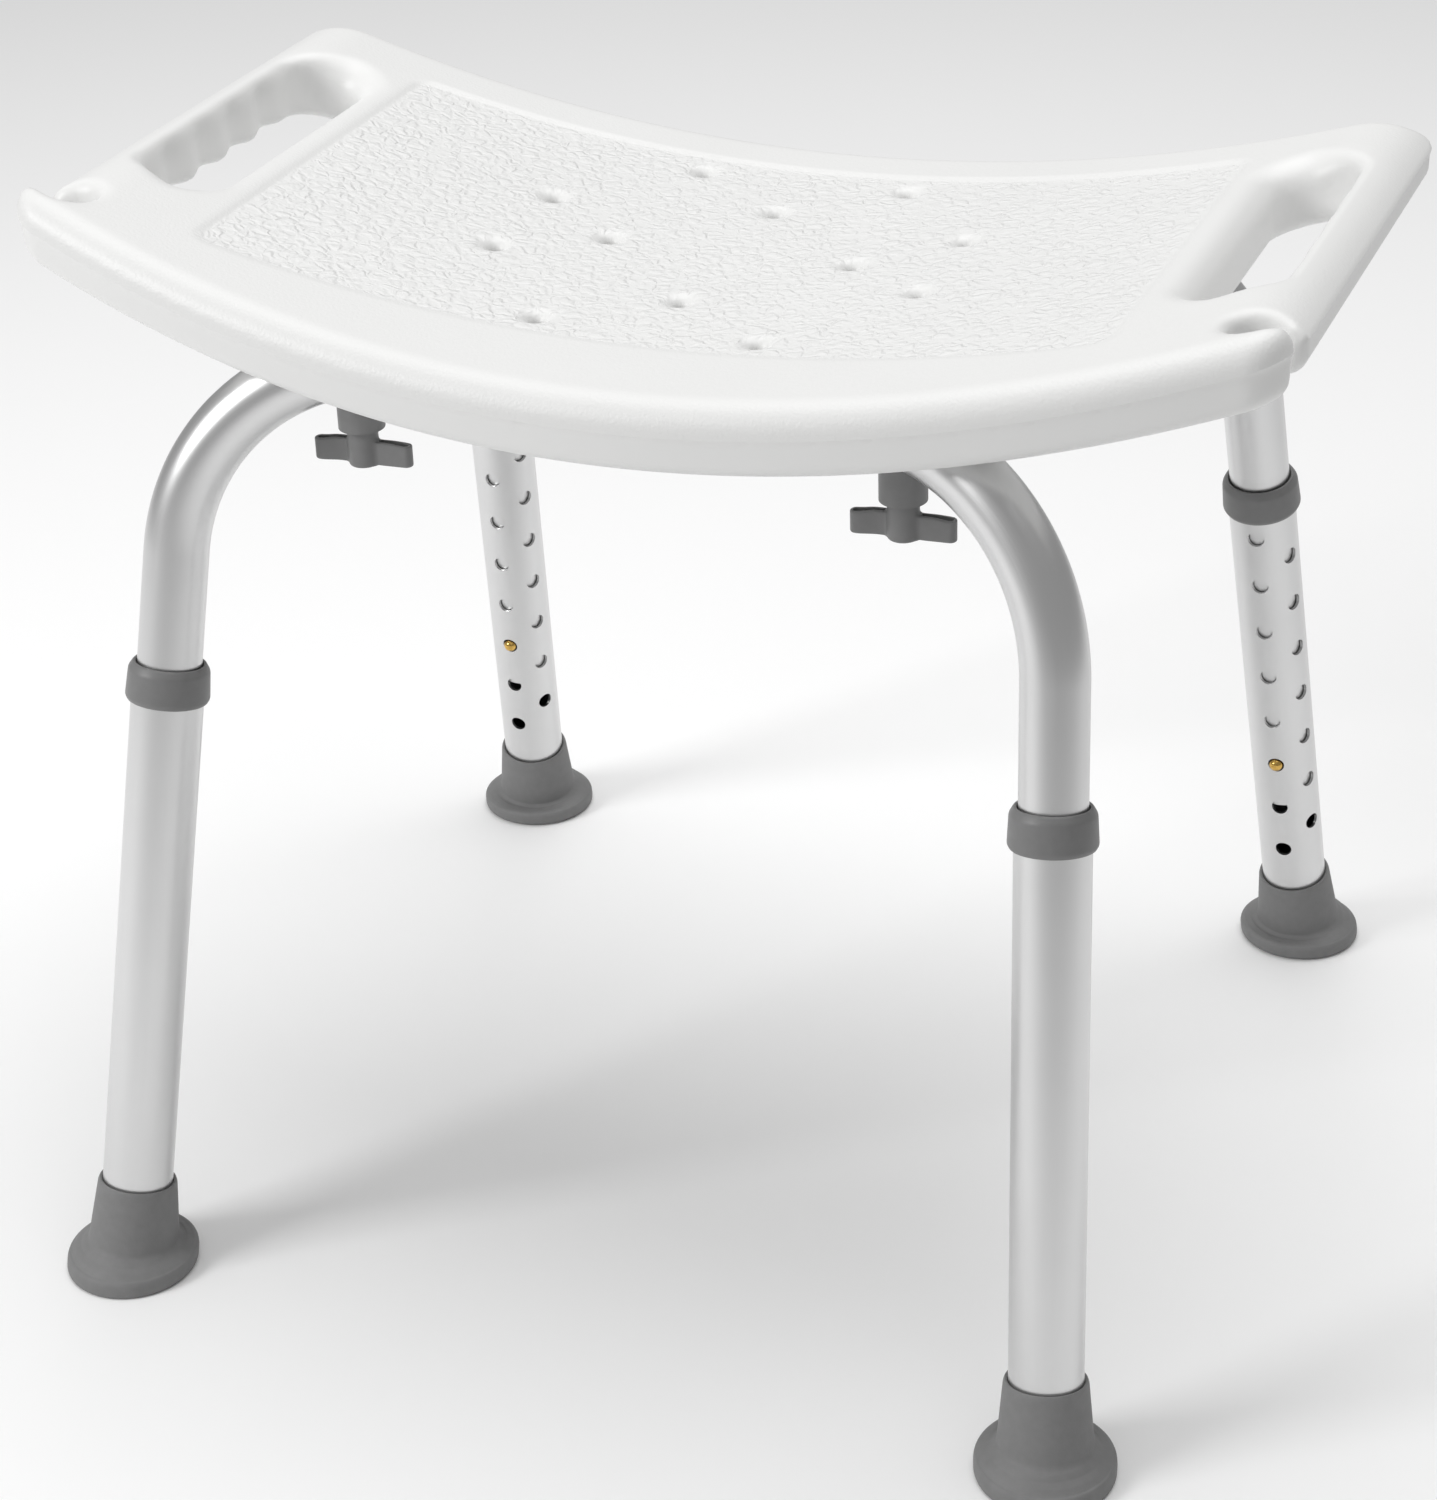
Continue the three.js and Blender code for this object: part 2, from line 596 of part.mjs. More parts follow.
function buildCollar(corner) {
  const bore = OUTER_TUBE.radius + TOUCH_GAP;
  const lip = INNER_TUBE.radius + TOUCH_GAP;
  const skirt = bore + COLLAR_WALL;
  const lipBottom = LEG_TOP + TOUCH_GAP;
  const profile = [
    [bore, COLLAR_BOTTOM],
    [skirt - COLLAR_CHAMFER, COLLAR_BOTTOM],
    [skirt, COLLAR_BOTTOM + COLLAR_CHAMFER],
    [skirt - COLLAR_TAPER, COLLAR_TOP - COLLAR_CHAMFER],
    [skirt - COLLAR_TAPER - COLLAR_CHAMFER, COLLAR_TOP],
    [lip, COLLAR_TOP],
    [lip, lipBottom],
    [bore, lipBottom],
    [bore, COLLAR_BOTTOM],
  ];
  const collar = solid(turned(profile), legFrame(corner));
  addPart(stool, "leg_collar_" + corner.name, geometryOf(collar), MATERIALS.rubber);
}

/** A rubber foot: a level pad and flare, and a neck along the leg that grips the tube. */
function buildFoot(corner) {
  const { base } = legLine(corner);
  const pad = turned([
    [0, 0],
    [FOOT_RADIUS - FOOT_EDGE, 0],
    [FOOT_RADIUS, FOOT_EDGE],
    [FOOT_RADIUS, FOOT_RIM - FOOT_EDGE],
    [FOOT_RADIUS - FOOT_EDGE, FOOT_RIM],
    [FOOT_NECK_LOW + FOOT_SLOPE.out, FOOT_RIM + FOOT_SLOPE.up],
    [FOOT_NECK_LOW, FOOT_FLARE],
    [0, FOOT_FLARE],
  ]);
  pad.translate(base.x, base.y, 0);
  const neck = turned([
    [0, FOOT_RIM],
    [FOOT_NECK_LOW, FOOT_RIM],
    [FOOT_NECK_LOW - FOOT_TAPER, FOOT_FLARE + FOOT_SLOPE.up],
    [FOOT_NECK_HIGH, FOOT_TOP],
    [0, FOOT_TOP],
  ]);
  const bore = pipe(OUTER_TUBE.radius + TOUCH_GAP, 0, FOOT_FLOOR, FAR);
  const foot = solid(pad).add(solid(neck, legFrame(corner))).subtract(solid(bore, legFrame(corner)));
  addPart(stool, "rubber_foot_" + corner.name, geometryOf(foot), MATERIALS.rubber);
  const low = FOOT_FLOOR + TOUCH_GAP;
  const disc = solid(pipe(OUTER_TUBE.radius - OUTER_TUBE.wall, 0, low, low + FOOT_DISC), legFrame(corner));
  addPart(stool, "foot_disc_" + corner.name, geometryOf(disc), MATERIALS.steel);
}

/** The brass button, which stands through both tubes, on the arm of its leaf spring. */
function buildButton(corner) {
  const flangeTop = INNER_TUBE.radius - INNER_TUBE.wall - BUTTON_FLANGE.inset;
  const flangeLow = flangeTop - BUTTON_FLANGE.height;
  const crown = OUTER_TUBE.radius + BUTTON_REACH;
  const pin = turned([
    [0, flangeLow],
    [BUTTON_RADIUS + BUTTON_FLANGE.rim, flangeLow],
    [BUTTON_RADIUS + BUTTON_FLANGE.rim, flangeTop],
    [BUTTON_RADIUS, flangeTop],
    [BUTTON_RADIUS, crown - BUTTON_DOME.height],
    [BUTTON_RADIUS * BUTTON_DOME.share, crown - BUTTON_DOME.crown],
    [0, crown],
  ], SIDES_SMALL);
  pin.rotateY(Math.PI / 2);
  pin.translate(0, 0, BUTTON_PLACE);
  addPart(stool, "snap_button_" + corner.name, geometryOf(solid(pin, legFrame(corner))), MATERIALS.brass);
  const armOut = flangeLow - TOUCH_GAP;
  const armLow = BUTTON_PLACE - LEAF.width / 2;
  const arm = block(
    [armOut - LEAF.thickness, -LEAF.width / 2, armLow],
    [armOut, LEAF.width / 2, armLow + LEAF.length],
  );
  addPart(stool, "button_leaf_" + corner.name, geometryOf(solid(arm, legFrame(corner))), MATERIALS.steel);
  buildLeafBack(corner, armOut - LEAF.thickness - BUTTON_TRAVEL - TOUCH_GAP, armLow);
}

/** The leaf spring's fixed arm, which bears on the far side of the upper tube, and its top fold. */
function buildLeafBack(corner, foldOut, armLow) {
  const inner = INNER_TUBE.radius - INNER_TUBE.wall;
  const back = Math.sqrt(inner ** 2 - (LEAF.width / 2) ** 2) - 4 * TOUCH_GAP;
  const top = armLow + LEAF.length;
  const strip = new THREE.Shape();
  strip.moveTo(-back, armLow);
  strip.lineTo(-back + LEAF.thickness, armLow);
  strip.lineTo(-back + LEAF.thickness, top - LEAF.thickness);
  strip.lineTo(foldOut, top - LEAF.thickness);
  strip.lineTo(foldOut, top);
  strip.lineTo(-back, top);
  strip.closePath();
  const spring = raised(strip, -LEAF.width / 2, LEAF.width / 2);
  spring.rotateX(Math.PI / 2);
  addPart(stool, "leaf_back_" + corner.name, geometryOf(solid(spring, legFrame(corner))), MATERIALS.steel);
}

// ---- knobs ------------------------------------------------------------------------------------------

/** A wing of a thumb knob in plan: a waisted bar with a full, round tip. */
function wingOutline(end) {
  const half = KNOB_WING.thickness / 2;
  const waist = end * (KNOB_WING.reach / 2);
  const tip = end * KNOB_WING.reach;
  const wing = new THREE.Shape();
  wing.moveTo(0, -half);
  wing.quadraticCurveTo(waist, -half * 0.4, tip - end * half, -half);
  wing.quadraticCurveTo(tip, -half, tip, 0);
  wing.quadraticCurveTo(tip, half, tip - end * half, half);
  wing.quadraticCurveTo(waist, half * 0.4, 0, half);
  wing.lineTo(0, -half);
  return wing;
}

function buildKnob(corner) {
  const place = overKnob(corner);
  const top = knobTop(corner);
  const bottom = top - KNOB_HUB.height;
  const wingLow = bottom + KNOB_WING.lift;
  const studLow = bottom + STUD_LIFT;
  let knob = rodAtKnob(corner, KNOB_HUB.radius, bottom, top, SIDES_TUBE);
  for (const end of [-1, 1]) {
    const wing = raised(wingOutline(end), wingLow, wingLow + KNOB_WING.height, 3);
    wing.translate(place.x, place.y, 0);
    knob = knob.add(solid(wing));
  }
  knob = knob.subtract(rodAtKnob(corner, STUD_RADIUS + TOUCH_GAP, studLow - TOUCH_GAP, FAR));
  addPart(stool, "thumb_knob_" + corner.name, geometryOf(knob), MATERIALS.knob);
  const stud = rodAtKnob(corner, STUD_RADIUS, studLow, insertTop() - STUD_SHORT);
  addPart(stool, "knob_stud_" + corner.name, geometryOf(stud), MATERIALS.steel);
}

/** The saddle washer between a knob and the round underside of its tube. */
function buildSaddle(corner) {
  const disc = rodAtKnob(corner, SADDLE_RADIUS, knobTop(corner) + TOUCH_GAP, overKnob(corner).z, SIDES_TUBE);
  const tube = solid(sweptTube(framePoints(corner.y), INNER_TUBE.radius + TOUCH_GAP, 0));
  const bore = rodAtKnob(corner, STUD_RADIUS + HOLE_GAP, 0, FAR);
  const washer = largest(disc.subtract(tube).subtract(bore));
  addPart(stool, "saddle_washer_" + corner.name, geometryOf(washer), MATERIALS.knob);
}

/** The threaded insert that is moulded into the seat. */
function buildInsert(corner) {
  const body = rodAtKnob(corner, INSERT_RADIUS, insertFoot(corner), insertTop(), SIDES_SMALL);
  const bore = rodAtKnob(corner, STUD_RADIUS + TOUCH_GAP, 0, insertTop() - TOUCH_GAP);
  addPart(stool, "seat_insert_" + corner.name, geometryOf(body.subtract(bore)), MATERIALS.brass);
}

// ---- the whole stool ----------------------------------------------------------------------------------

buildSeat();
buildFrames();
buildJoin();
for (const corner of CORNERS) {
  buildLowerTube(corner);
  buildCollar(corner);
  buildFoot(corner);
  buildButton(corner);
  buildKnob(corner);
  buildSaddle(corner);
  buildInsert(corner);
}

export default stool;
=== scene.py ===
"""Finished look of a shower stool: a moulded saddle seat on bent tubes with four telescopic legs."""

import json
import logging
import math
from dataclasses import dataclass, field
from enum import Enum
from typing import Callable

import bpy
import numpy as np
from mathutils import Matrix, Vector


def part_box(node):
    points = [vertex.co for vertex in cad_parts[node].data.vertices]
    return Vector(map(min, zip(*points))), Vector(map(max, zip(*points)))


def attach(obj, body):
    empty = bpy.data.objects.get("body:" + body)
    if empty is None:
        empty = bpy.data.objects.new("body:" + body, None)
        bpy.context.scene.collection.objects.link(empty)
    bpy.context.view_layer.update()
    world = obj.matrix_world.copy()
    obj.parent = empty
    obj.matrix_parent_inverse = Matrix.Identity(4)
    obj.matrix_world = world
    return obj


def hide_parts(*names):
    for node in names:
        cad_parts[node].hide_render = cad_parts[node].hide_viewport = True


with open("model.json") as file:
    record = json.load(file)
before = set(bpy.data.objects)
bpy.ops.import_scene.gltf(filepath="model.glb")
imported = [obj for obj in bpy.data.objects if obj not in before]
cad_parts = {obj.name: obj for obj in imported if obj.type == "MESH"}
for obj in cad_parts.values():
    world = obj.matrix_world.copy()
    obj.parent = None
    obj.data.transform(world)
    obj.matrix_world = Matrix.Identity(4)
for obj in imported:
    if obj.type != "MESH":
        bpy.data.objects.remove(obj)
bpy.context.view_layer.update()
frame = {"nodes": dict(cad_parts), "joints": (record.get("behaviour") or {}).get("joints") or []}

MM = 0.001
log = logging.getLogger("stool")

Array = np.ndarray
Socket = bpy.types.NodeSocket
Tree = bpy.types.NodeTree
Field = Callable[[Array, Array, Array], Array]


# ---- shapes -------------------------------------------------------------------------------------


@dataclass
class Surface:
    """Points in millimetres in the stool's frame, with four-sided and three-sided faces."""

    points: Array
    quads: Array = field(default_factory=lambda: np.zeros((0, 4), int))
    triangles: Array = field(default_factory=lambda: np.zeros((0, 3), int))
    attributes: dict[str, Array] = field(default_factory=dict)


def smooth_step(value: Array, low: float, high: float) -> Array:
    """Rises from 0 at low to 1 at high as 3t^2 - 2t^3.

    Args:
        value: where to work it out.
        low: value at which the rise starts.
        high: value at which it ends.

    Returns:
        The share, from 0 to 1.
    """
    share = np.clip((value - low) / (high - low), 0, 1)
    return share * share * (3 - 2 * share)


def round_max(a: Array, b: Array, radius: Array | float) -> Array:
    """The overlap of two solids given by distance, with a round of that radius where they meet.

    Formula: min(max(a, b), -r) + length(max(a + r, 0), max(b + r, 0)).

    Args:
        a: distance to the first solid, negative inside.
        b: distance to the second solid.
        radius: radius of the round edge in millimetres.

    Returns:
        Distance to the overlap.
    """
    corner = np.hypot(np.maximum(a + radius, 0), np.maximum(b + radius, 0))
    return np.minimum(np.maximum(a, b), -radius) + corner


def round_min(a: Array, b: Array, radius: float) -> Array:
    """The union of two solids with a hollow round between them: round_max of the opposites, turned back."""
    return -round_max(-a, -b, radius)


def round_box(a: Array, b: Array, corner: float) -> Array:
    """Distance to a rectangle with round corners, from the distances to its two pairs of sides."""
    reach = np.hypot(np.maximum(a + corner, 0), np.maximum(b + corner, 0))
    return np.minimum(np.maximum(a, b) + corner, 0) + reach - corner


def surface_net(solid: Field, low: Array, high: Array, step: float) -> Surface:
    """Skin of a solid that is given as a distance field.

    Formula: each cell that the skin passes through gets one point, the mean of the places where the
    field changes sign along the cell's edges, and each grid edge that crosses the skin gets a face
    between the four cells round it.

    Args:
        solid: distance as a function of x, y and z, negative inside.
        low: lowest corner of the grid in millimetres.
        high: highest corner.
        step: size of a cell.

    Returns:
        The closed skin, with its faces pointing out.
    """
    counts = np.ceil((np.asarray(high) - low) / step).astype(int) + 1
    cells = counts - 1
    value = solid(*np.meshgrid(*(low[k] + step * np.arange(counts[k]) for k in range(3)), indexing="ij"))
    inside = value < 0
    places = np.zeros((*cells, 3))
    crossings = np.zeros(cells)
    for axis in range(3):
        for pair in ((0, 0), (0, 1), (1, 0), (1, 1)):
            start = np.insert(pair, axis, 0)
            a, b = (value[tuple(slice(s, s + c) for s, c in zip(corner, cells))]
                    for corner in (start, np.insert(pair, axis, 1)))
            crossed = (a < 0) != (b < 0)
            share = np.where(crossed, a / np.where(crossed, a - b, 1), 0)
            places += crossed[..., None] * start
            places[..., axis] += share
            crossings += crossed
    active = crossings > 0
    number = np.full(cells, -1)
    number[active] = np.arange(active.sum())
    points = low + step * (np.argwhere(active) + places[active] / crossings[active][:, None])
    quads = []
    for axis in range(3):
        first, second = (k for k in range(3) if k != axis)
        edges = np.argwhere(np.diff(inside.astype(np.int8), axis=axis) != 0)
        whole = (edges[:, first] > 0) & (edges[:, second] > 0)
        whole &= (edges[:, first] < cells[first]) & (edges[:, second] < cells[second])
        edges = edges[whole]
        ring = []
        for shift_first, shift_second in ((-1, -1), (0, -1), (0, 0), (-1, 0)):
            cell = edges.copy()
            cell[:, first] += shift_first
            cell[:, second] += shift_second
            ring.append(number[tuple(cell.T)])
        quad = np.stack(ring, 1)
        forward = inside[tuple(edges.T)] != (axis == 1)
        quads.append(np.where(forward[:, None], quad, quad[:, ::-1]))
    return Surface(points, np.concatenate(quads))


def gradient(solid: Field, points: Array, reach: float = 0.05) -> Array:
    """Slope of a field at some points, from differences a short way each side.

    Args:
        solid: the distance field.
        points: where it is taken.
        reach: how far each side.

    Returns:
        The slopes, one row each.
    """
    slopes = []
    for axis in range(3):
        offset = np.zeros(3)
        offset[axis] = reach
        slopes.append((solid(*(points + offset).T) - solid(*(points - offset).T)) / (2 * reach))
    return np.stack(slopes, 1)


def settle(solid: Field, points: Array, farthest: float, rounds: int = 4, flat: bool = False) -> Array:
    """Moves points onto the skin of a field by Newton's steps, p - f * slope / |slope|^2.

    Args:
        solid: the distance field.
        points: where they start.
        farthest: the most that one step moves a point.
        rounds: number of steps.
        flat: True to move them in plan only.

    Returns:
        The points on the skin.
    """
    for _ in range(rounds):
        slope = gradient(solid, points)
        if flat:
            slope[:, 2] = 0
        move = -(solid(*points.T) / np.maximum((slope**2).sum(1), 0.1))[:, None] * slope
        length = np.linalg.norm(move, axis=1, keepdims=True)
        points = points + move * np.minimum(1, farthest / np.maximum(length, 1e-9))
    return points


def filleted(corners: list[tuple[float, float, float]], steps: int = 5) -> Array:
    """A line of [radius, height] points whose corners are rounded.

    Formula: each corner is the quadratic curve from a point short of it, over it, to a point past it.

    Args:
        corners: radius, height and the size of the round at each corner; 0 keeps it sharp.
        steps: points in each round.

    Returns:
        The points, one row each.
    """
    spots = np.array([corner[:2] for corner in corners], float)
    line = []
    for i, (_, _, size) in enumerate(corners):
        if size == 0 or i in (0, len(corners) - 1):
            line.append(spots[i : i + 1])
            continue
        before, after = spots[i - 1] - spots[i], spots[i + 1] - spots[i]
        start = spots[i] + before * min(size / np.linalg.norm(before), 0.5)
        stop = spots[i] + after * min(size / np.linalg.norm(after), 0.5)
        t = np.linspace(0, 1, steps)[:, None]
        line.append((1 - t) ** 2 * start + 2 * t * (1 - t) * spots[i] + t**2 * stop)
    return np.concatenate(line)


def loft(centres: Array, across: Array, up: Array, radius: Array, sides: int) -> Surface:
    """Rings carried along a row of centres.

    Formula: point = centre + radius * (cos(angle) * across + sin(angle) * up). A first or last ring of
    radius 0 becomes one pole.

    Args:
        centres: the rings' centres.
        across: first direction of each ring.
        up: second direction of each ring.
        radius: radius of each ring, or of each point of each ring.
        sides: points in a ring.

    Returns:
        The skin, which faces out where the rings run with the first direction turning to the second.
    """
    angle = np.linspace(0, 2 * np.pi, sides, endpoint=False)
    radius = radius if np.ndim(radius) == 2 else np.asarray(radius)[:, None]
    radius = np.broadcast_to(radius, (len(centres), sides))
    poles = [radius[0].max() == 0, radius[-1].max() == 0]
    rows = slice(1 if poles[0] else 0, len(centres) - (1 if poles[1] else 0))
    ring = np.cos(angle)[:, None] * across[rows, None] + np.sin(angle)[:, None] * up[rows, None]
    points = centres[rows, None] + radius[rows, :, None] * ring
    count = points.shape[0]
    i, j = np.meshgrid(np.arange(count - 1), np.arange(sides), indexing="ij")
    k = (j + 1) % sides
    here, after = i * sides, (i + 1) * sides
    quads = np.stack([here + j, here + k, after + k, after + j], -1).reshape(-1, 4)
    made = Surface(points.reshape(-1, 3), quads)
    turn = np.arange(sides)
    for is_pole, end, row in ((poles[0], 0, 0), (poles[1], -1, count - 1)):
        if is_pole:
            pole = np.full(sides, len(made.points))
            start, stop = row * sides + turn, row * sides + (turn + 1) % sides
            fan = [pole, stop, start] if end == 0 else [pole, start, stop]
            made.points = np.concatenate([made.points, centres[end][None]])
            made.triangles = np.concatenate([made.triangles, np.stack(fan, 1)])
    return made


@dataclass(frozen=True)
class Place:
    """A turned piece's own frame: where its axis starts, the axis and the direction of angle 0."""

    base: Array
    axis: Array
    across: Array

    def turned(self, profile: Array, sides: int, spread: Array | None = None) -> Surface:
        """A profile of [radius, height] points turned about the axis.

        Args:
            profile: the points, from the bottom up along the outside.
            sides: points in a ring.
            spread: factor on the radius at each angle, for a head that isn't round.

        Returns:
            The skin.
        """
        count = len(profile)
        centres = self.base + profile[:, 1:2] * self.axis
        side = np.cross(self.axis, self.across)
        radius = profile[:, :1] * np.ones((1, sides)) if spread is None else profile[:, :1] * spread
        return loft(centres, np.tile(self.across, (count, 1)), np.tile(side, (count, 1)), radius, sides)


def walled(outer: Array, inner: Array, kept: Array, run: Array) -> Surface:
    """A tube wall from two grids of points, open where cells are left out.

    Formula: the kept cells of both grids are faces, and each grid edge between a kept cell and a gap
    or an end gets a face that joins the two walls.

    Args:
        outer: points of the outside, by station and by angle.
        inner: points of the inside, the same way.
        kept: True for each cell that is there, by station and by angle.
        run: distance round and along the tube at each point, in millimetres.

    Returns:
        The closed wall.
    """
    stations, sides = outer.shape[:2]
    i, j = np.nonzero(kept)
    number = np.arange(stations * sides).reshape(stations, sides)
    k = (j + 1) % sides
    out = np.stack([number[i, j], number[i, k], number[i + 1, k], number[i + 1, j]], 1)
    quads = [out, out[:, ::-1] + stations * sides]
    framed = np.pad(kept, ((1, 1), (0, 0)))
    edges = {
        "start": (framed[1:] & ~framed[:-1]),
        "end": (framed[:-1] & ~framed[1:]),
        "low": np.pad(kept & ~np.roll(kept, 1, 1), ((0, 1), (0, 0))),
        "high": np.pad(kept & ~np.roll(kept, -1, 1), ((0, 1), (0, 0))),
    }
    for name, mask in edges.items():
        i, j = np.nonzero(mask)
        k = (j + 1) % sides
        a, b = {
            "start": (number[i, k], number[i, j]),
            "end": (number[i, j], number[i, k]),
            "low": (number[i, j], number[(i + 1) % stations, j]),
            "high": (number[(i + 1) % stations, k], number[i, k]),
        }[name]
        quads.append(np.stack([a, b, b + stations * sides, a + stations * sides], 1))
    points = np.concatenate([outer.reshape(-1, 3), inner.reshape(-1, 3)])
    used, renumbered = np.unique(np.concatenate(quads), return_inverse=True)
    lines = np.tile(run.reshape(-1, 2), (2, 1))[used]
    return Surface(points[used], renumbered.reshape(-1, 4), attributes={
        "run": np.concatenate([lines, np.zeros((len(used), 1))], 1) * MM,
    })


def tube(path: Array, radius: float, wall: float, sides: int, along: Array,
         holes: list[tuple[float, float, float]], reference: Array, block: int = 2) -> Surface:
    """A round tube carried along a path, with round holes through its wall.

    Formula: station i and angle j give path[i] + r * (cos * across + sin * up), where across is the
    path's direction crossed with the reference. Round each hole the square block of cells is drawn out
    to a circle: a point c cells from the hole's centre goes from the circle, at the block, to its own
    place, at the rim of the patch.

    Args:
        path: stations of the centre line.
        radius: outer radius.
        wall: wall thickness.
        sides: points in a ring.
        along: distance along the tube of each station.
        holes: distance along, angle in degrees and radius of each hole.
        reference: a direction that the path never runs in.
        block: cells from a hole's centre to its rim; the patch round it is twice as large.

    Returns:
        The closed wall.
    """
    patch = 2 * block
    arc = 2 * np.pi * radius / sides
    shift = np.zeros((len(path), sides, 2))
    kept = np.ones((len(path) - 1, sides), bool)
    for distance, turn, size in holes:
        i0 = int(np.argmin(np.abs(along - distance)))
        j0 = round(turn / 360 * sides)
        di, dj = np.meshgrid(np.arange(-patch, patch + 1), np.arange(-patch, patch + 1), indexing="ij")
        pitch = along[i0 + 1] - along[i0]
        flat = np.stack([dj * arc, di * pitch], -1)
        length = np.linalg.norm(flat, axis=-1, keepdims=True)
        ring = np.maximum(np.abs(di), np.abs(dj))[..., None]
        circle = flat / np.maximum(length, 1e-9) * size
        share = np.clip((ring - block) / (patch - block), 0, 1)
        shift[i0 + di, (j0 + dj) % sides] = (circle - flat) * (1 - share)
        ci, cj = np.meshgrid(np.arange(-block, block), np.arange(-block, block), indexing="ij")
        kept[i0 + ci, (j0 + cj) % sides] = False
    angle = np.arange(sides) / sides * 2 * np.pi + shift[..., 0] / radius
    tangent = np.gradient(path, axis=0)
    tangent /= np.linalg.norm(tangent, axis=1, keepdims=True)
    across = np.cross(tangent, reference)
    across /= np.linalg.norm(across, axis=1, keepdims=True)
    up = np.cross(tangent, across)
    spokes = np.cos(angle)[..., None] * across[:, None] + np.sin(angle)[..., None] * up[:, None]
    middle = path[:, None] + shift[..., 1:2] * tangent[:, None]
    run = np.stack([angle * radius, along[:, None] + shift[..., 1]], -1)
    return walled(middle + radius * spokes, middle + (radius - wall) * spokes, kept, run)


def piece(name: str, made: Surface, finish: "Finish", body: str, replaces: list[str]) -> bpy.types.Object:
    """Makes a surface a smooth-shaded object that rides on a body and stands for CAD nodes.

    Args:
        name: the object's name.
        made: its surface in millimetres.
        finish: its material.
        body: the CAD body that it moves with.
        replaces: CAD nodes that it stands for.

    Returns:
        The object.
    """
    mesh = bpy.data.meshes.new(name)
    faces = [made.quads, made.triangles]
    corners = np.concatenate([group.ravel() for group in faces]).astype(np.int32)
    sizes = np.concatenate([np.full(len(group), group.shape[1]) for group in faces])
    mesh.vertices.add(len(made.points))
    mesh.vertices.foreach_set("co", (made.points * MM).astype(np.float32).ravel())
    mesh.loops.add(len(corners))
    mesh.loops.foreach_set("vertex_index", corners)
    mesh.polygons.add(len(sizes))
    mesh.polygons.foreach_set("loop_start", np.concatenate([[0], np.cumsum(sizes)[:-1]]).astype(np.int32))
    mesh.polygons.foreach_set("use_smooth", np.ones(len(sizes), bool))
    mesh.update(calc_edges=True)
    for key, values in made.attributes.items():
        kind, slot = ("FLOAT", "value") if values.ndim == 1 else ("FLOAT_VECTOR", "vector")
        mesh.attributes.new(key, kind, "POINT").data.foreach_set(slot, values.astype(np.float32).ravel())
    mesh.materials.append(finish.material())
    thing = bpy.data.objects.new(name, mesh)
    bpy.context.scene.collection.objects.link(thing)
    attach(thing, body)
    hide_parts(*replaces)
    log.info("%s: %d faces on %s", name, len(sizes), body)
    return thing


def crease(thing: bpy.types.Object, degrees: float) -> None:
    """Keeps edges sharper than an angle crisp in the shading.

    Args:
        thing: the object.
        degrees: the angle.
    """
    thing.data.set_sharp_from_angle(angle=math.radians(degrees))


# ---- finishes -----------------------------------------------------------------------------------


def linear(hex_colour: str) -> tuple[float, float, float, float]:
    """An sRGB hex colour as linear red, green, blue and alpha.

    Args:
        hex_colour: the colour as #rrggbb.

    Returns:
        The four values.
    """
    parts = [int(hex_colour[i : i + 2], 16) / 255 for i in (1, 3, 5)]
    curve = [c / 12.92 if c <= 0.04045 else ((c + 0.055) / 1.055) ** 2.4 for c in parts]
    return (*curve, 1.0)


def add_node(tree: Tree, kind: str, settings: dict, inputs: dict) -> bpy.types.Node:
    """Adds a node.

    Args:
        tree: the node tree.
        kind: the node's type name.
        settings: its properties.
        inputs: values of its sockets, or the output sockets that feed them.

    Returns:
        The node.
    """
    node = tree.nodes.new(kind)
    for key, value in settings.items():
        setattr(node, key, value)
    for key, value in inputs.items():
        if isinstance(value, Socket):
            tree.links.new(value, node.inputs[key])
        else:
            node.inputs[key].default_value = value
    return node


def per_metre(millimetres: float) -> float:
    """Texture scale that repeats about once in a length."""
    return 1 / (millimetres * MM)


def noise(tree: Tree, vector: Socket, pitch: float, **more: float) -> bpy.types.Node:
    """Adds a cloudy noise.

    Args:
        tree: the node tree.
        vector: where it is looked up.
        pitch: its pitch in millimetres.
        more: values of its other sockets, by name.

    Returns:
        The node.
    """
    return add_node(tree, "ShaderNodeTexNoise", {}, {
        "Vector": vector, "Scale": per_metre(pitch), "Detail": 2.0, **more,
    })


def combined(tree: Tree, operation: str, first: Socket, second: Socket | float) -> Socket:
    """Adds a sum or a product.

    Args:
        tree: the node tree.
        operation: "ADD" or "MULTIPLY".
        first: the first value.
        second: the second value.

    Returns:
        The result's socket.
    """
    made = add_node(tree, "ShaderNodeMath", {"operation": operation}, {0: first, 1: second})
    return made.outputs["Value"]


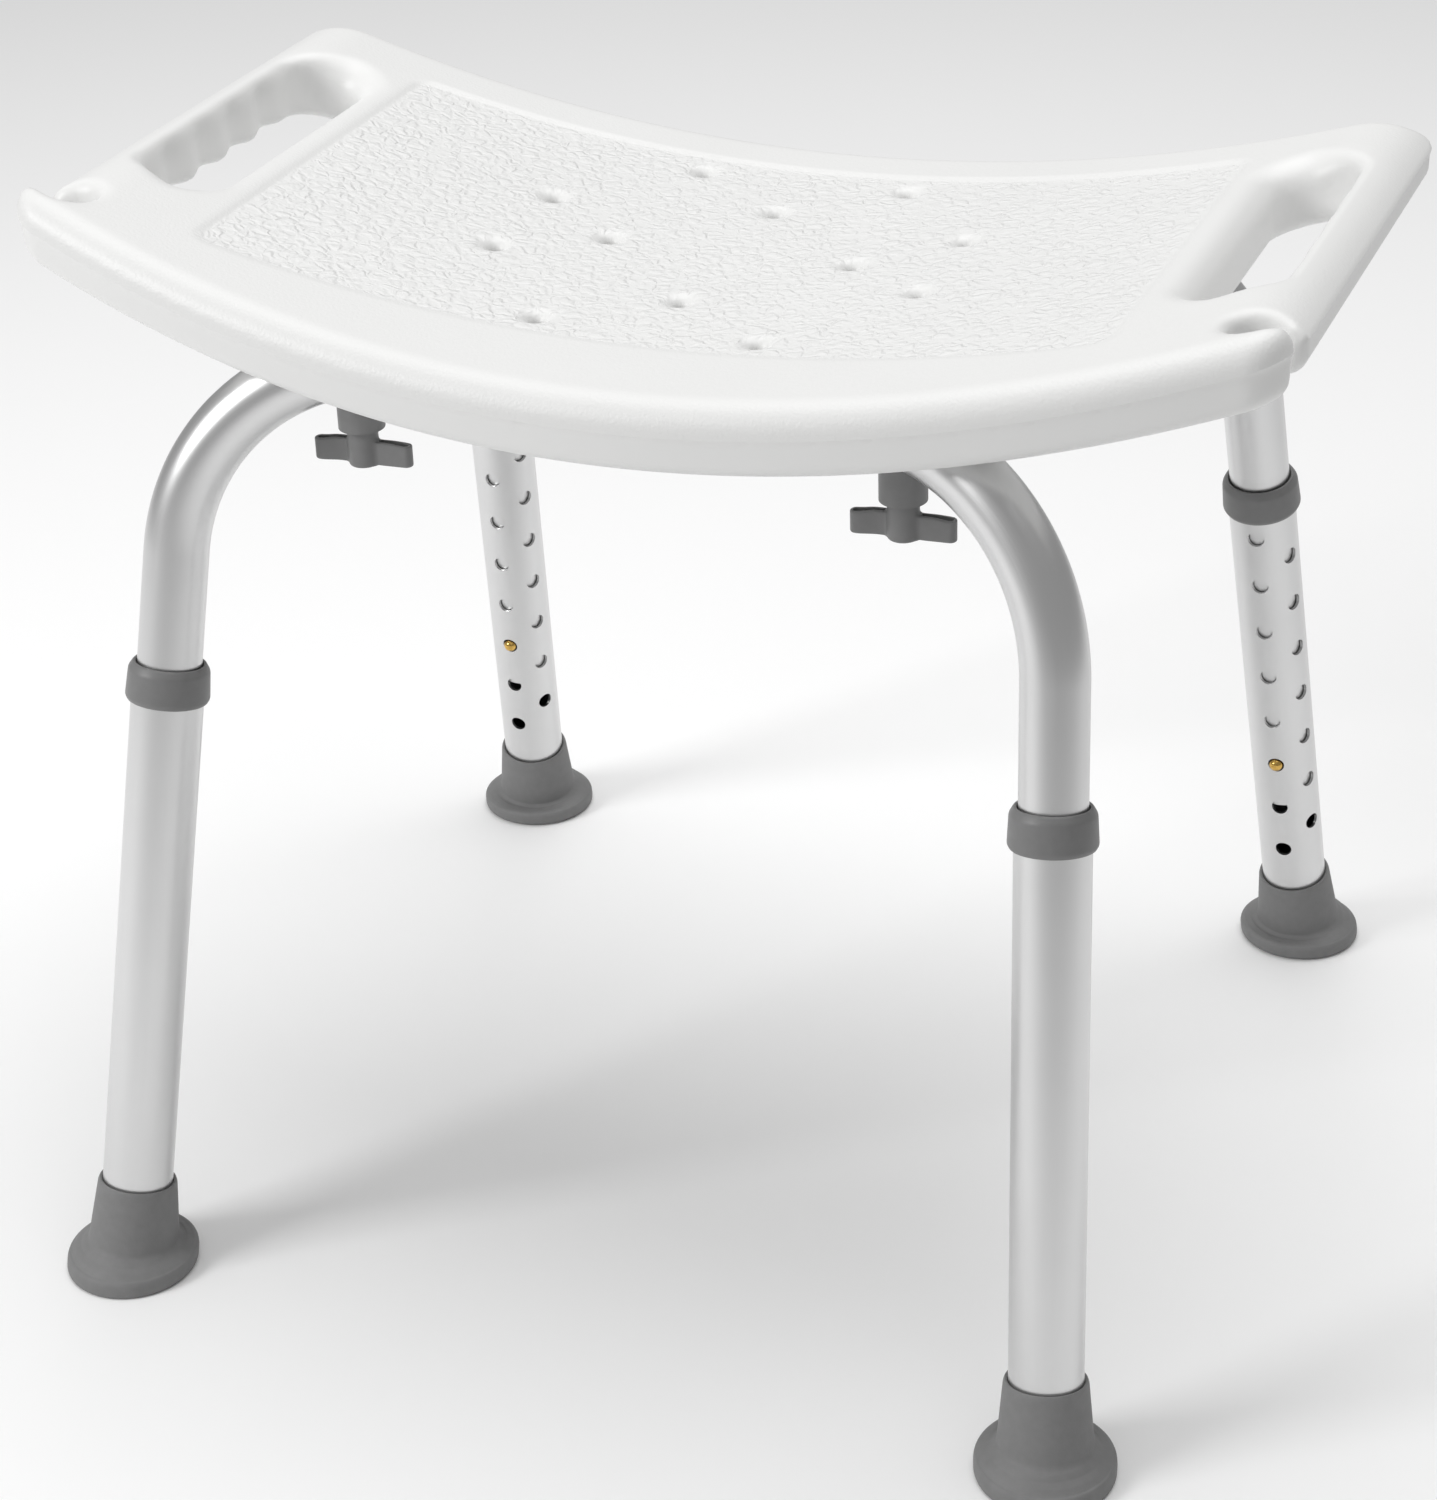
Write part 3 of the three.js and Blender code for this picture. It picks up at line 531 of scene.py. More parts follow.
@dataclass(frozen=True)
class Finish:
    """A material with a name, a record slot, two colours that it wanders between and its gloss."""

    name: str
    slot: str
    colour: str
    second_colour: str
    roughness: float
    metallic: float = 0.0

    def material(self) -> bpy.types.Material:
        """The Blender material, made on first use.

        Returns:
            The material.
        """
        found = bpy.data.materials.get(self.name)
        if found:
            return found
        made = bpy.data.materials.new(self.name)
        made.use_nodes = True
        made.node_tree.nodes.clear()
        sockets = self.surface(made.node_tree)
        shader = add_node(made.node_tree, "ShaderNodeBsdfPrincipled", {}, {
            "Metallic": self.metallic, "Roughness": self.roughness, **sockets,
        })
        add_node(made.node_tree, "ShaderNodeOutputMaterial", {}, {"Surface": shader.outputs["BSDF"]})
        return made

    def surface(self, tree: Tree) -> dict:
        """Sockets of the shader that this finish feeds."""
        raise NotImplementedError

    def wander(self, tree: Tree, vector: Socket, pitch: float) -> Socket:
        """A colour that drifts between the finish's two colours over a pitch in millimetres.

        Args:
            tree: the node tree.
            vector: where the colour is looked up.
            pitch: its pitch.

        Returns:
            The colour's socket.
        """
        cloud = noise(tree, vector, pitch)
        mixed = add_node(tree, "ShaderNodeMix", {"data_type": "RGBA"}, {
            "Factor": cloud.outputs["Fac"], 6: linear(self.colour), 7: linear(self.second_colour),
        })
        return mixed.outputs[2]

    def bumped(self, tree: Tree, height: Socket, depth: float) -> Socket:
        """A normal from a height of 0 to 1 that stands for a depth in millimetres.

        Args:
            tree: the node tree.
            height: the height's socket.
            depth: the depth.

        Returns:
            The normal's socket.
        """
        bump = add_node(tree, "ShaderNodeBump", {}, {
            "Height": height, "Strength": 1.0, "Distance": depth * MM,
        })
        return bump.outputs["Normal"]


@dataclass(frozen=True)
class MouldedPolyethylene(Finish):
    """Blow-moulded white polyethylene: satin skin, spark-eroded grain outside, leather grain in the panel."""

    grain: float = 1.3
    grain_depth: float = 0.16
    leather: float = 6.0
    leather_depth: float = 0.75

    def surface(self, tree: Tree) -> dict:
        """Grain and leather relief, each where the mould has it, over a slightly uneven white.

        Args:
            tree: the node tree.

        Returns:
            The sockets by name.
        """
        where = add_node(tree, "ShaderNodeTexCoord", {}, {}).outputs["Object"]
        fine = noise(tree, where, self.grain, Roughness=0.55)
        warp = noise(tree, where, self.leather * 1.4)
        pushed = add_node(tree, "ShaderNodeVectorMath", {"operation": "SCALE"}, {
            0: warp.outputs["Color"], "Scale": self.leather * 1.6 * MM,
        })
        moved = add_node(tree, "ShaderNodeVectorMath", {"operation": "ADD"}, {
            0: where, 1: pushed.outputs["Vector"],
        })
        wrinkles = add_node(tree, "ShaderNodeTexVoronoi", {"feature": "DISTANCE_TO_EDGE"}, {
            "Vector": moved.outputs["Vector"], "Scale": per_metre(self.leather), "Randomness": 1.0,
        })
        pillows = add_node(tree, "ShaderNodeMapRange", {"interpolation_type": "SMOOTHSTEP"}, {
            "Value": wrinkles.outputs["Distance"], "From Min": 0.0, "From Max": 0.3,
        })
        soft = noise(tree, moved.outputs["Vector"], self.leather * 0.6)
        skin = combined(tree, "MULTIPLY", pillows.outputs["Result"], soft.outputs["Fac"])
        heights = []
        for key, height, depth in (
            ("grain", fine.outputs["Fac"], self.grain_depth),
            ("leather", skin, self.leather_depth),
        ):
            mask = add_node(tree, "ShaderNodeAttribute", {"attribute_name": key}, {})
            masked = combined(tree, "MULTIPLY", height, mask.outputs["Fac"])
            heights.append(combined(tree, "MULTIPLY", masked, depth))
        return {
            "Base Color": self.wander(tree, where, 60),
            "Normal": self.bumped(tree, combined(tree, "ADD", *heights), 1),
            "IOR": 1.54,
        }


@dataclass(frozen=True)
class SatinAnodisedAluminium(Finish):
    """Drawn aluminium tube, satin anodised: fine lines along the tube that spread the highlights."""

    line: float = 0.5
    line_length: float = 60

    def surface(self, tree: Tree) -> dict:
        """Drawing lines along the tube in the colour, gloss and relief.

        Args:
            tree: the node tree.

        Returns:
            The sockets by name.
        """
        run = add_node(tree, "ShaderNodeAttribute", {"attribute_name": "run"}, {})
        stretched = add_node(tree, "ShaderNodeVectorMath", {"operation": "MULTIPLY"}, {
            0: run.outputs["Vector"], 1: (1.0, self.line / self.line_length, 1.0),
        })
        lines = noise(tree, stretched.outputs["Vector"], self.line)
        gloss = add_node(tree, "ShaderNodeMapRange", {}, {
            "Value": lines.outputs["Fac"], "To Min": self.roughness - 0.05, "To Max": self.roughness + 0.06,
        })
        where = add_node(tree, "ShaderNodeTexCoord", {}, {}).outputs["Object"]
        return {
            "Base Color": self.wander(tree, where, 35),
            "Roughness": gloss.outputs["Result"],
            "Normal": self.bumped(tree, lines.outputs["Fac"], 0.006),
        }


@dataclass(frozen=True)
class Moulded(Finish):
    """Moulded rubber or hard plastic: matt, with the faint unevenness of a spark-eroded mould."""

    grain: float = 0.9
    grain_depth: float = 0.05
    ior: float = 1.5

    def surface(self, tree: Tree) -> dict:
        """Mottled grey with a fine grain.

        Args:
            tree: the node tree.

        Returns:
            The sockets by name.
        """
        where = add_node(tree, "ShaderNodeTexCoord", {}, {}).outputs["Object"]
        fine = noise(tree, where, self.grain, Detail=3.0)
        return {
            "Base Color": self.wander(tree, where, 4),
            "Normal": self.bumped(tree, fine.outputs["Fac"], self.grain_depth),
            "IOR": self.ior,
        }


@dataclass(frozen=True)
class TurnedMetal(Finish):
    """Turned, stamped or plated metal: small scratches and a slightly clouded gloss."""

    scratch: float = 0.6

    def surface(self, tree: Tree) -> dict:
        """Clouded colour and gloss with a fine scratched relief.

        Args:
            tree: the node tree.

        Returns:
            The sockets by name.
        """
        where = add_node(tree, "ShaderNodeTexCoord", {}, {}).outputs["Object"]
        fine = noise(tree, where, self.scratch)
        gloss = add_node(tree, "ShaderNodeMapRange", {}, {
            "Value": fine.outputs["Fac"], "To Min": self.roughness - 0.04, "To Max": self.roughness + 0.06,
        })
        return {
            "Base Color": self.wander(tree, where, 3),
            "Roughness": gloss.outputs["Result"],
            "Normal": self.bumped(tree, fine.outputs["Fac"], 0.004),
        }


SEAT_PLASTIC = MouldedPolyethylene("blow_moulded_polyethylene", "seat_plastic", "#e6e6e5", "#e2e2e1", 0.42)
TUBE_ALUMINIUM = SatinAnodisedAluminium(
    "satin_anodised_aluminium", "tube_aluminium", "#dcdcdc", "#d6d6d6", 0.33, 1.0)
GREY_RUBBER = Moulded("moulded_grey_rubber", "grey_rubber", "#808080", "#767676", 0.62)
GREY_PLASTIC = Moulded("moulded_grey_nylon", "grey_plastic", "#7a7a7a", "#727272", 0.45, grain_depth=0.02)
BUTTON_BRASS = TurnedMetal("polished_brass", "button_brass", "#dcb565", "#d2a857", 0.16, 1.0)
ZINC_STEEL = TurnedMetal("zinc_plated_steel", "zinc_steel", "#b9bbbd", "#aeb0b2", 0.3, 1.0)
SPRING_STEEL = TurnedMetal("blued_spring_steel", "spring_steel", "#7f8288", "#73767c", 0.3, 1.0)


# ---- lines that the pieces share ------------------------------------------------------------------


class Corner(Enum):
    """The four corners of the stool, each with its signs along X and Y."""

    FRONT_LEFT = ("front_left", -1, -1)
    FRONT_RIGHT = ("front_right", 1, -1)
    REAR_LEFT = ("rear_left", -1, 1)
    REAR_RIGHT = ("rear_right", 1, 1)

    @property
    def label(self) -> str:
        """The corner's name in node and body names."""
        return self.value[0]

    @property
    def signs(self) -> tuple[int, int]:
        """Which side of the middle it is on, along X and Y."""
        return self.value[1], self.value[2]


def node_box(node: str) -> tuple[Array, Array]:
    """A CAD node's lowest and highest corners in millimetres.

    Args:
        node: the CAD node.

    Returns:
        The two corners.
    """
    low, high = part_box(node)
    return np.array(low) / MM, np.array(high) / MM


def leg_place(corner: Corner) -> Place:
    """A leg's own frame: its foot on the floor, its axis upwards and the direction of its button.

    Args:
        corner: the leg's corner.

    Returns:
        The place.
    """
    low, high = node_box("rubber_foot_" + corner.label)
    joint = next(j for j in frame["joints"] if j["name"] == f"leg_{corner.label}_slide")
    axis = -np.array(joint["axis"], float)
    axis /= np.linalg.norm(axis)
    button = np.array([0.0, -corner.signs[1], 0.0])
    button -= button @ axis * axis
    base = np.array([(low[0] + high[0]) / 2, (low[1] + high[1]) / 2, 0.0])
    return Place(base, axis, button / np.linalg.norm(button))


@dataclass(frozen=True)
class TubeLine:
    """The centre line of a frame tube, in millimetres and degrees."""

    low_end: float = 88
    bend_start: float = 308
    bend_radius: float = 84.5
    turn: float = 14
    dip: float = 9
    reach: float = 20
    middle_run: float = 32
    middle_height: float = 366.8
    radius: float = 12.7
    wall: float = 1.2
    half_gap: float = 13.0
    station: float = 25 / 16
    arc_station: float = 2.2

    def heading(self, corner: Corner) -> Array:
        """Direction of the tube as it leaves the bend over a leg.

        Args:
            corner: the leg's corner.

        Returns:
            The direction, of length 1.
        """
        x, y = corner.signs
        turn, dip = math.radians(self.turn), math.radians(self.dip)
        way = np.array([-x * math.cos(turn), -y * math.sin(turn), -math.tan(dip)])
        return way / np.linalg.norm(way)

    def half(self, corner: Corner) -> Array:
        """Stations from the low end in a leg, round the bend, to the middle of the stool.

        Formula: a straight run up the leg, an arc start + R sin(a) axis + R (1 - cos(a)) inward, and a
        cubic curve that leaves along the heading and arrives along X.

        Args:
            corner: the leg's corner.

        Returns:
            The stations in millimetres.
        """
        leg = leg_place(corner)
        heading = self.heading(corner)
        up = np.arange(self.low_end, self.bend_start, self.station)[:, None]
        inward = heading - heading @ leg.axis * leg.axis
        inward /= np.linalg.norm(inward)
        sweep = math.acos(heading @ leg.axis)
        angle = np.linspace(0, sweep, int(sweep * self.bend_radius / self.arc_station))[:, None]
        start = leg.base + self.bend_start * leg.axis
        bend = start + self.bend_radius * (np.sin(angle) * leg.axis + (1 - np.cos(angle)) * inward)
        middle = np.array([0, corner.signs[1] * self.half_gap, self.middle_height])
        lead = bend[-1] + self.reach * heading
        settled = middle + [corner.signs[0] * self.middle_run, 0, 0]
        t = np.linspace(0, 1, int(np.linalg.norm(middle - bend[-1]) / self.arc_station))[1:, None]
        cross = (1 - t) ** 3 * bend[-1] + 3 * t * (1 - t) ** 2 * lead
        cross = cross + 3 * t**2 * (1 - t) * settled + t**3 * middle
        return np.concatenate([leg.base + up * leg.axis, bend, cross])


# ---- seat ---------------------------------------------------------------------------------------


@dataclass
class Seat:
    """The moulded seat. Heights w are over the saddle surface z = top + rise * x^2."""

    half_length: float = 249
    front_middle: float = 154
    front_end: float = 122
    back: float = 131
    corner: float = 14
    top: float = 390.3
    thickness: float = 28
    rise: float = 0.0007
    front_roll: float = 12
    back_roll: float = 9
    bottom_round: float = 5.5
    parting: float = -12
    end_parting: float = -16
    parting_step: float = 0.6
    draft: float = 7
    end_slope: float = 52
    end_edge: float = 0.8
    panel_half_length: float = 181.6
    panel_half_width: float = 101.6
    panel_corner: float = 8
    panel_depth: float = 1.0
    slot_inner: float = 197
    slot_outer: float = 231
    slot_front: float = -60
    slot_back: float = 86
    slot_corner: float = 15
    slot_draft: float = 0.07
    fingers: int = 4
    finger_pitch: float = 26
    finger_depth: float = 3
    notch_y: float = -99
    notch_x: float = 234
    notch_radius: float = 11
    notch_mouth: float = 7.5
    notch_blend: float = 3
    notch_rim: float = 6
    handle_blend: float = 8
    slot_rim: float = 13
    slot_end_rim: float = 5
    channel_gap: float = 0.5
    channel_rim: float = 2.5
    drain_radius: float = 3.2
    drain_rim: float = 5.5
    drains: tuple[tuple[float, float], ...] = ((0, 51), (51, 0), (87.6, 28.7), (44.7, 85.1))
    step: float = 2.0
    line: TubeLine = field(default_factory=TubeLine)

    def __post_init__(self) -> None:
        """Works out the tube line that the underside's channels follow."""
        path = self.line.half(Corner.REAR_RIGHT)[::-1]
        path = path[: int(np.argmax(path[:, 0])) + 1]
        slope = np.gradient(path[:, 1]) / np.maximum(np.gradient(path[:, 0]), 1e-6)
        self.channel = (path[:, 0], path[:, 1], path[:, 2], np.cos(np.arctan(slope)))

    def slot(self, x: Array, y: Array, w: Array) -> Array:
        """Distance to the hand hold: a round-cornered slot that narrows downwards.

        Its outboard wall has finger hollows, depth * sin^2, which fade out towards the rim.

        Args:
            x: place along the seat.
            y: place across it.
            w: height over the saddle surface.

        Returns:
            The distance in millimetres, negative inside.
        """
        start = (self.slot_front + self.slot_back - self.fingers * self.finger_pitch) / 2
        share = np.clip((y - start) / self.finger_pitch, 0, self.fingers)
        hollow = self.finger_depth * np.sin(np.pi * share) ** 2 * smooth_step(-w, 3, 14)
        narrow = self.slot_draft * np.maximum(-w, 0)
        across = np.maximum(np.abs(x) - self.slot_outer - hollow, self.slot_inner - np.abs(x)) + narrow
        along = np.maximum(y - self.slot_back, self.slot_front - y) + narrow
        return round_box(across, along, self.slot_corner)

    def notch(self, x: Array, y: Array) -> Array:
        """Distance to the keyhole notch: a round hole with a mouth to the end edge.

        Args:
            x: place along the seat.
            y: place across it.

        Returns:
            The distance in millimetres, negative inside.
        """
        hole = np.hypot(np.abs(x) - self.notch_x, y - self.notch_y) - self.notch_radius
        mouth = np.maximum(np.abs(y - self.notch_y) - self.notch_mouth, self.notch_x - np.abs(x))
        return round_min(hole, mouth, self.notch_blend)

    def drain(self, x: Array, y: Array) -> Array:
        """Distance to the nearest drain hole.

        Args:
            x: place along the seat.
            y: place across it.

        Returns:
            The distance in millimetres, negative inside.
        """
        holes = [np.hypot(np.abs(x) - hole_x, np.abs(y) - hole_y) for hole_x, hole_y in self.drains]
        return np.minimum.reduce(holes) - self.drain_radius

    def panel(self, x: Array, y: Array) -> Array:
        """Distance to the sunk panel's outline, negative inside.

        Args:
            x: place along the seat.
            y: place across it.

        Returns:
            The distance in millimetres, negative inside.
        """
        along, across = np.abs(x) - self.panel_half_length, np.abs(y) - self.panel_half_width
        return round_box(along, across, self.panel_corner)

    def sides(self, x: Array, y: Array) -> Array:
        """Distance in plan to the two long sides: a bowed front and a straight back.

        Args:
            x: place along the seat.
            y: place across it.

        Returns:
            The distance in millimetres, negative inside.
        """
        bow = (self.front_middle - self.front_end) / self.half_length**2
        front = (-y - self.front_middle + bow * x**2) / np.hypot(1, 2 * bow * x)
        return np.maximum(front, y - self.back)

    def handle(self, y: Array) -> Array:
        """1 along the handles, 0 in front of the notches, where the ends are rounded like the front."""
        return smooth_step(y, self.notch_y - self.handle_blend, self.notch_y + self.handle_blend)

    def end_share(self, x: Array, y: Array) -> Array:
        """1 where the nearest side is the end of a handle, 0 where it is a long side."""
        return self.handle(y) * smooth_step(np.abs(x) - self.half_length - self.sides(x, y), -6, 6)

    def seam_level(self, x: Array, y: Array) -> Array:
        """Height of the parting line, which drops from the long sides to the ends."""
        return self.parting + (self.end_parting - self.parting) * self.end_share(x, y)

    def walls(self, x: Array, y: Array, w: Array) -> Array:
        """Distance to the outline, which steps in under the parting line and drafts on the long sides.

        Args:
            x: place along the seat.
            y: place across it.
            w: height over the saddle surface.

        Returns:
            The distance in millimetres, negative inside.
        """
        below = np.maximum(self.seam_level(x, y) - w, 0)
        step = self.parting_step * smooth_step(below, 0, 0.8)
        draft = math.tan(math.radians(self.draft)) * below
        ends = np.abs(x) - self.half_length + step
        return round_box(ends, self.sides(x, y) + step + draft, self.corner)

    def crown(self, x: Array, y: Array, w: Array) -> Array:
        """Distance to the top: a sunk panel, and a roll down to each end's parting line.

        Args:
            x: place along the seat.
            y: place across it.
            w: height over the saddle surface.

        Returns:
            The distance in millimetres, negative inside.
        """
        slope = math.radians(self.end_slope)
        radius = -self.end_parting / (1 - math.cos(slope))
        start = self.half_length - radius * math.sin(slope)
        beyond = np.maximum(np.abs(x) - start, 0) * self.handle(y)
        roll = np.hypot(beyond, np.maximum(w + radius, 0)) - radius
        bevel = 1.4 + 1.6 * smooth_step(-y, self.panel_half_width - 12, self.panel_half_width - 2)
        return roll + self.panel_depth * smooth_step(-self.panel(x, y), 0, bevel)

    def channels(self, x: Array, y: Array, w: Array) -> Array:
        """Distance to the channels under the seat: round-roofed and open downwards, along the tubes.

        Args:
            x: place along the seat.
            y: place across it.
            w: height over the saddle surface.

        Returns:
            The distance in millimetres, negative inside.
        """
        line_x, line_y, line_z, lean = self.channel
        beside = (np.abs(y) - np.interp(np.abs(x), line_x, line_y)) * np.interp(np.abs(x), line_x, lean)
        over = w + self.top + self.rise * x**2 - np.interp(np.abs(x), line_x, line_z)
        past = np.maximum(np.abs(x) - line_x[-1], 0)
        reach = np.sqrt(beside**2 + np.maximum(over, 0) ** 2 + past**2)
        return reach - self.line.radius - self.channel_gap

    def solid(self, x: Array, y: Array, w: Array) -> Array:
        """Distance to the whole seat, as rounded cuts one after another.

        Args:
            x: place along the seat.
            y: place across it.
            w: height over the saddle surface.

        Returns:
            The distance in millimetres, negative inside.
        """
        edge = self.back_roll + (self.front_roll - self.back_roll) * smooth_step(-y, 0, 60)
        edge = edge + (self.end_edge - edge) * self.end_share(x, y)
        made = round_max(self.crown(x, y, w), self.walls(x, y, w), edge)
        rim = self.slot_rim - (self.slot_rim - self.slot_end_rim) * smooth_step(np.abs(x), 206, 226)
        made = round_max(made, -self.slot(x, y, w), rim)
        made = round_max(made, -self.notch(x, y), self.notch_rim)
        made = round_max(made, -w - self.thickness, self.bottom_round)
        made = round_max(made, -self.drain(x, y), self.drain_rim)
        return round_max(made, -self.channels(x, y, w), self.channel_rim)

    def build(self) -> Surface:
        """The seat's skin, with the parting line drawn crisp round its edge.

        Returns:
            The skin.
        """
        half = self.step / 2
        top_level = math.ceil(-self.parting / self.step) * self.step + self.parting + half
        low = np.array([-self.half_length - 3, -self.front_middle - 3, top_level - 36], float)
        high = np.array([self.half_length + 3, self.back + 3, top_level + 2], float)
        skin = surface_net(self.solid, low, high, self.step)
        points = settle(self.solid, skin.points, self.step)
        share = self.end_share(*skin.points[:, :2].T)
        on_wall = np.abs(self.walls(*points.T)) < 1.2
        level = np.where(share > 0.99, self.end_parting, self.parting)
        on_wall &= (np.abs(skin.points[:, 2] - level) < half) & ((share < 0.01) | (share > 0.99))
        points[on_wall, 2] = level[on_wall]
        points[on_wall] = settle(self.solid, points[on_wall], self.step, flat=True)
        x, y, w = points.T
        seam = self.seam_level(x, y)
        upper = smooth_step(w - seam, -0.5, 1)
        open_skin = smooth_step(self.slot(x, y, w), 5, 13) * smooth_step(self.notch(x, y), 3, 8)
        inside = smooth_step(-self.panel(x, y), 1, 4)
        self.seam = on_wall
        placed = np.stack([x, y, w + self.top + self.rise * x**2], 1)
        return Surface(placed, skin.quads, attributes={
            "grain": upper * open_skin * (1 - 0.6 * inside),
            "leather": upper * inside * smooth_step(self.drain(x, y), 1, 5),
        })

    def dress(self) -> None:
        """Builds the seat and marks its parting line sharp."""
        thing = piece("seat_moulding", self.build(), SEAT_PLASTIC, "seat_frame", ["seat"])
        ends = np.zeros(len(thing.data.edges) * 2, np.int32)
        thing.data.edges.foreach_get("vertices", ends)
        sharp = self.seam[ends.reshape(-1, 2)].all(1)
        thing.data.attributes.new("sharp_edge", "BOOLEAN", "EDGE").data.foreach_set("value", sharp)


# ---- tubes and legs -------------------------------------------------------------------------------


@dataclass
class Frames:
    """The two bent upper tubes, which meet back to back under the seat."""

    line: TubeLine = field(default_factory=TubeLine)
    sides: int = 48
    button_distance: float = 112.9
    hole_radius: float = 3.6

    def build(self, rear: bool) -> Surface:
        """One tube from its left leg over the middle to its right leg, with its two button holes.

        Args:
            rear: True for the rear tube.

        Returns:
            The tube's wall.
        """
        rear_pair, front_pair = (Corner.REAR_LEFT, Corner.REAR_RIGHT), (Corner.FRONT_LEFT, Corner.FRONT_RIGHT)
        left, right = rear_pair if rear else front_pair
        path = np.concatenate([self.line.half(left), self.line.half(right)[-2::-1]])
        along = np.concatenate([[0], np.cumsum(np.linalg.norm(np.diff(path, axis=0), axis=1))])
        reference = np.array([0, 1.0, 0])
        up_leg = self.button_distance - self.line.low_end
        turn = 90 if rear else 270
        holes = [(up_leg, turn, self.hole_radius), (along[-1] - up_leg, turn, self.hole_radius)]
        return tube(path, self.line.radius, self.line.wall, self.sides, along, holes, reference)

    def dress(self) -> None:
        """Builds both tubes."""
        for rear, node in ((False, "front_frame"), (True, "rear_frame")):
            thing = piece(node + "_tube", self.build(rear), TUBE_ALUMINIUM, "seat_frame", [node])
            crease(thing, 50)


@dataclass
class LowerLeg:
    """A lower leg tube with its two rows of height holes, its collar and its rubber foot."""

    corner: Corner
    radius: float = 14.3
    wall: float = 1.25
    top: float = 258
    lowest_hole: float = 62.9
    pitch: float = 25
    row: int = 8
    second_row: float = 60
    hole_radius: float = 3.7
    sides: int = 88
    collar_low: float = 246.5
    collar_high: float = 262.5
    collar_wall: float = 2.1
    foot_radius: float = 27.1
    foot_rim: float = 7.5
    foot_flare: float = 13.5
    neck_low: float = 18.6
    neck_high: float = 15.9
    foot_top: float = 38.6
    foot_floor: float = 9

    def build_tube(self) -> Surface:
        """The perforated tube.

        Returns:
            The tube's wall.
        """
        leg = leg_place(self.corner)
        step = self.pitch / 24
        below = int((self.lowest_hole - self.foot_floor - 2.5) / step)
        along = np.arange(self.lowest_hole - below * step, self.top, step)
        along[-1] = self.top
        first = [(self.lowest_hole + i * self.pitch, 0, self.hole_radius) for i in range(self.row)]
        second = [(self.lowest_hole + (i + 0.5) * self.pitch, self.second_row, self.hole_radius)
                  for i in range(self.row - 1)]
        path = leg.base + along[:, None] * leg.axis
        side = np.cross(leg.across, leg.axis)
        return tube(path, self.radius, self.wall, self.sides, along, first + second, side, block=3)

    def build_collar(self) -> Surface:
        """The collar: a waisted sleeve whose lip closes onto the upper tube.

        Returns:
            The skin.
        """
        bore, lip = self.radius + 0.2, TubeLine.radius + 0.2
        skirt = bore + self.collar_wall
        seat = self.top + 0.3
        profile = filleted([
            (bore, self.collar_low, 0),
            (skirt - 0.9, self.collar_low, 0.4),
            (skirt, self.collar_low + 1.6, 0.8),
            (skirt - 0.6, self.collar_high - 3.2, 1),
            (skirt - 2.4, self.collar_high - 0.2, 1),
            (lip + 0.3, self.collar_high - 0.6, 0.3),
            (lip, seat, 0),
            (bore, seat, 0),
            (bore, self.collar_low, 0),
        ])
        return leg_place(self.corner).turned(profile, self.sides)

    def build_foot(self) -> Surface:
        """The rubber foot: rings that are level in the pad and square to the leg in the neck.

        Formula: ring k lies at height h up the leg's axis, on directions that turn from level to the
        leg's own as its tilt goes from 0 to 1.

        Returns:
            The skin.
        """
        leg = leg_place(self.corner)
        bore = self.radius + 0.2
        rows = [
            (0, 0, 0, 0),
            (self.foot_radius - 8, 0, 0, 0),
            (self.foot_radius - 7.2, 0.8, 0, 0),
            (self.foot_radius - 6.4, 0.8, 0, 0),
            (self.foot_radius - 5.6, 0, 0, 0),
            (self.foot_radius - 0.8, 0, 0.8, 0),
            (self.foot_radius, 1.4, 0.8, 0),
            (self.foot_radius, self.foot_rim - 1.2, 1.6, 0),
            (self.foot_radius - 2, self.foot_rim + 0.6, 1.6, 0),
            (self.neck_low + 2.4, self.foot_flare - 3.4, 1.2, 0.5),
            (self.neck_low, self.foot_flare - 1.6, 1.2, 0.7),
            (self.neck_low - 0.6, self.foot_flare + 4, 1, 1),
            (self.neck_high + 0.3, self.foot_top - 1.6, 0.8, 1),
            (self.neck_high - 0.3, self.foot_top, 0.5, 1),
            (bore, self.foot_top - 0.6, 0.2, 1),
            (bore, self.foot_floor, 0, 1),
            (0, self.foot_floor, 0, 1),
        ]
        profile = filleted([(radius, height, size) for radius, height, size, _ in rows])
        tilts = filleted([(tilt, height, size) for _, height, size, tilt in rows])[:, :1]
        level = np.array([1.0, 0, 0])
        square = level - level @ leg.axis * leg.axis
        across = level + tilts * (square / np.linalg.norm(square) - level)
        across /= np.linalg.norm(across, axis=1, keepdims=True)
        normal = np.array([0, 0, 1.0]) + tilts * (leg.axis - [0, 0, 1.0])
        up = np.cross(normal, across)
        up /= np.linalg.norm(up, axis=1, keepdims=True)
        height = profile[:, 1:2]
        centres = leg.base + height * leg.axis / leg.axis[2] * (1 - tilts) + height * leg.axis * tilts
        return loft(centres, across, up, profile[:, 0], 72)

    def dress(self) -> None:
        """Builds the tube, the collar and the foot."""
        label = self.corner.label
        body = "leg_" + label
        for name, made, finish, node, angle in (
            ("leg_tube_", self.build_tube(), TUBE_ALUMINIUM, "lower_leg_", 50),
            ("collar_", self.build_collar(), GREY_PLASTIC, "leg_collar_", 60),
            ("foot_", self.build_foot(), GREY_RUBBER, "rubber_foot_", 60),
        ):
            crease(piece(name + label, made, finish, body, [node + label]), angle)


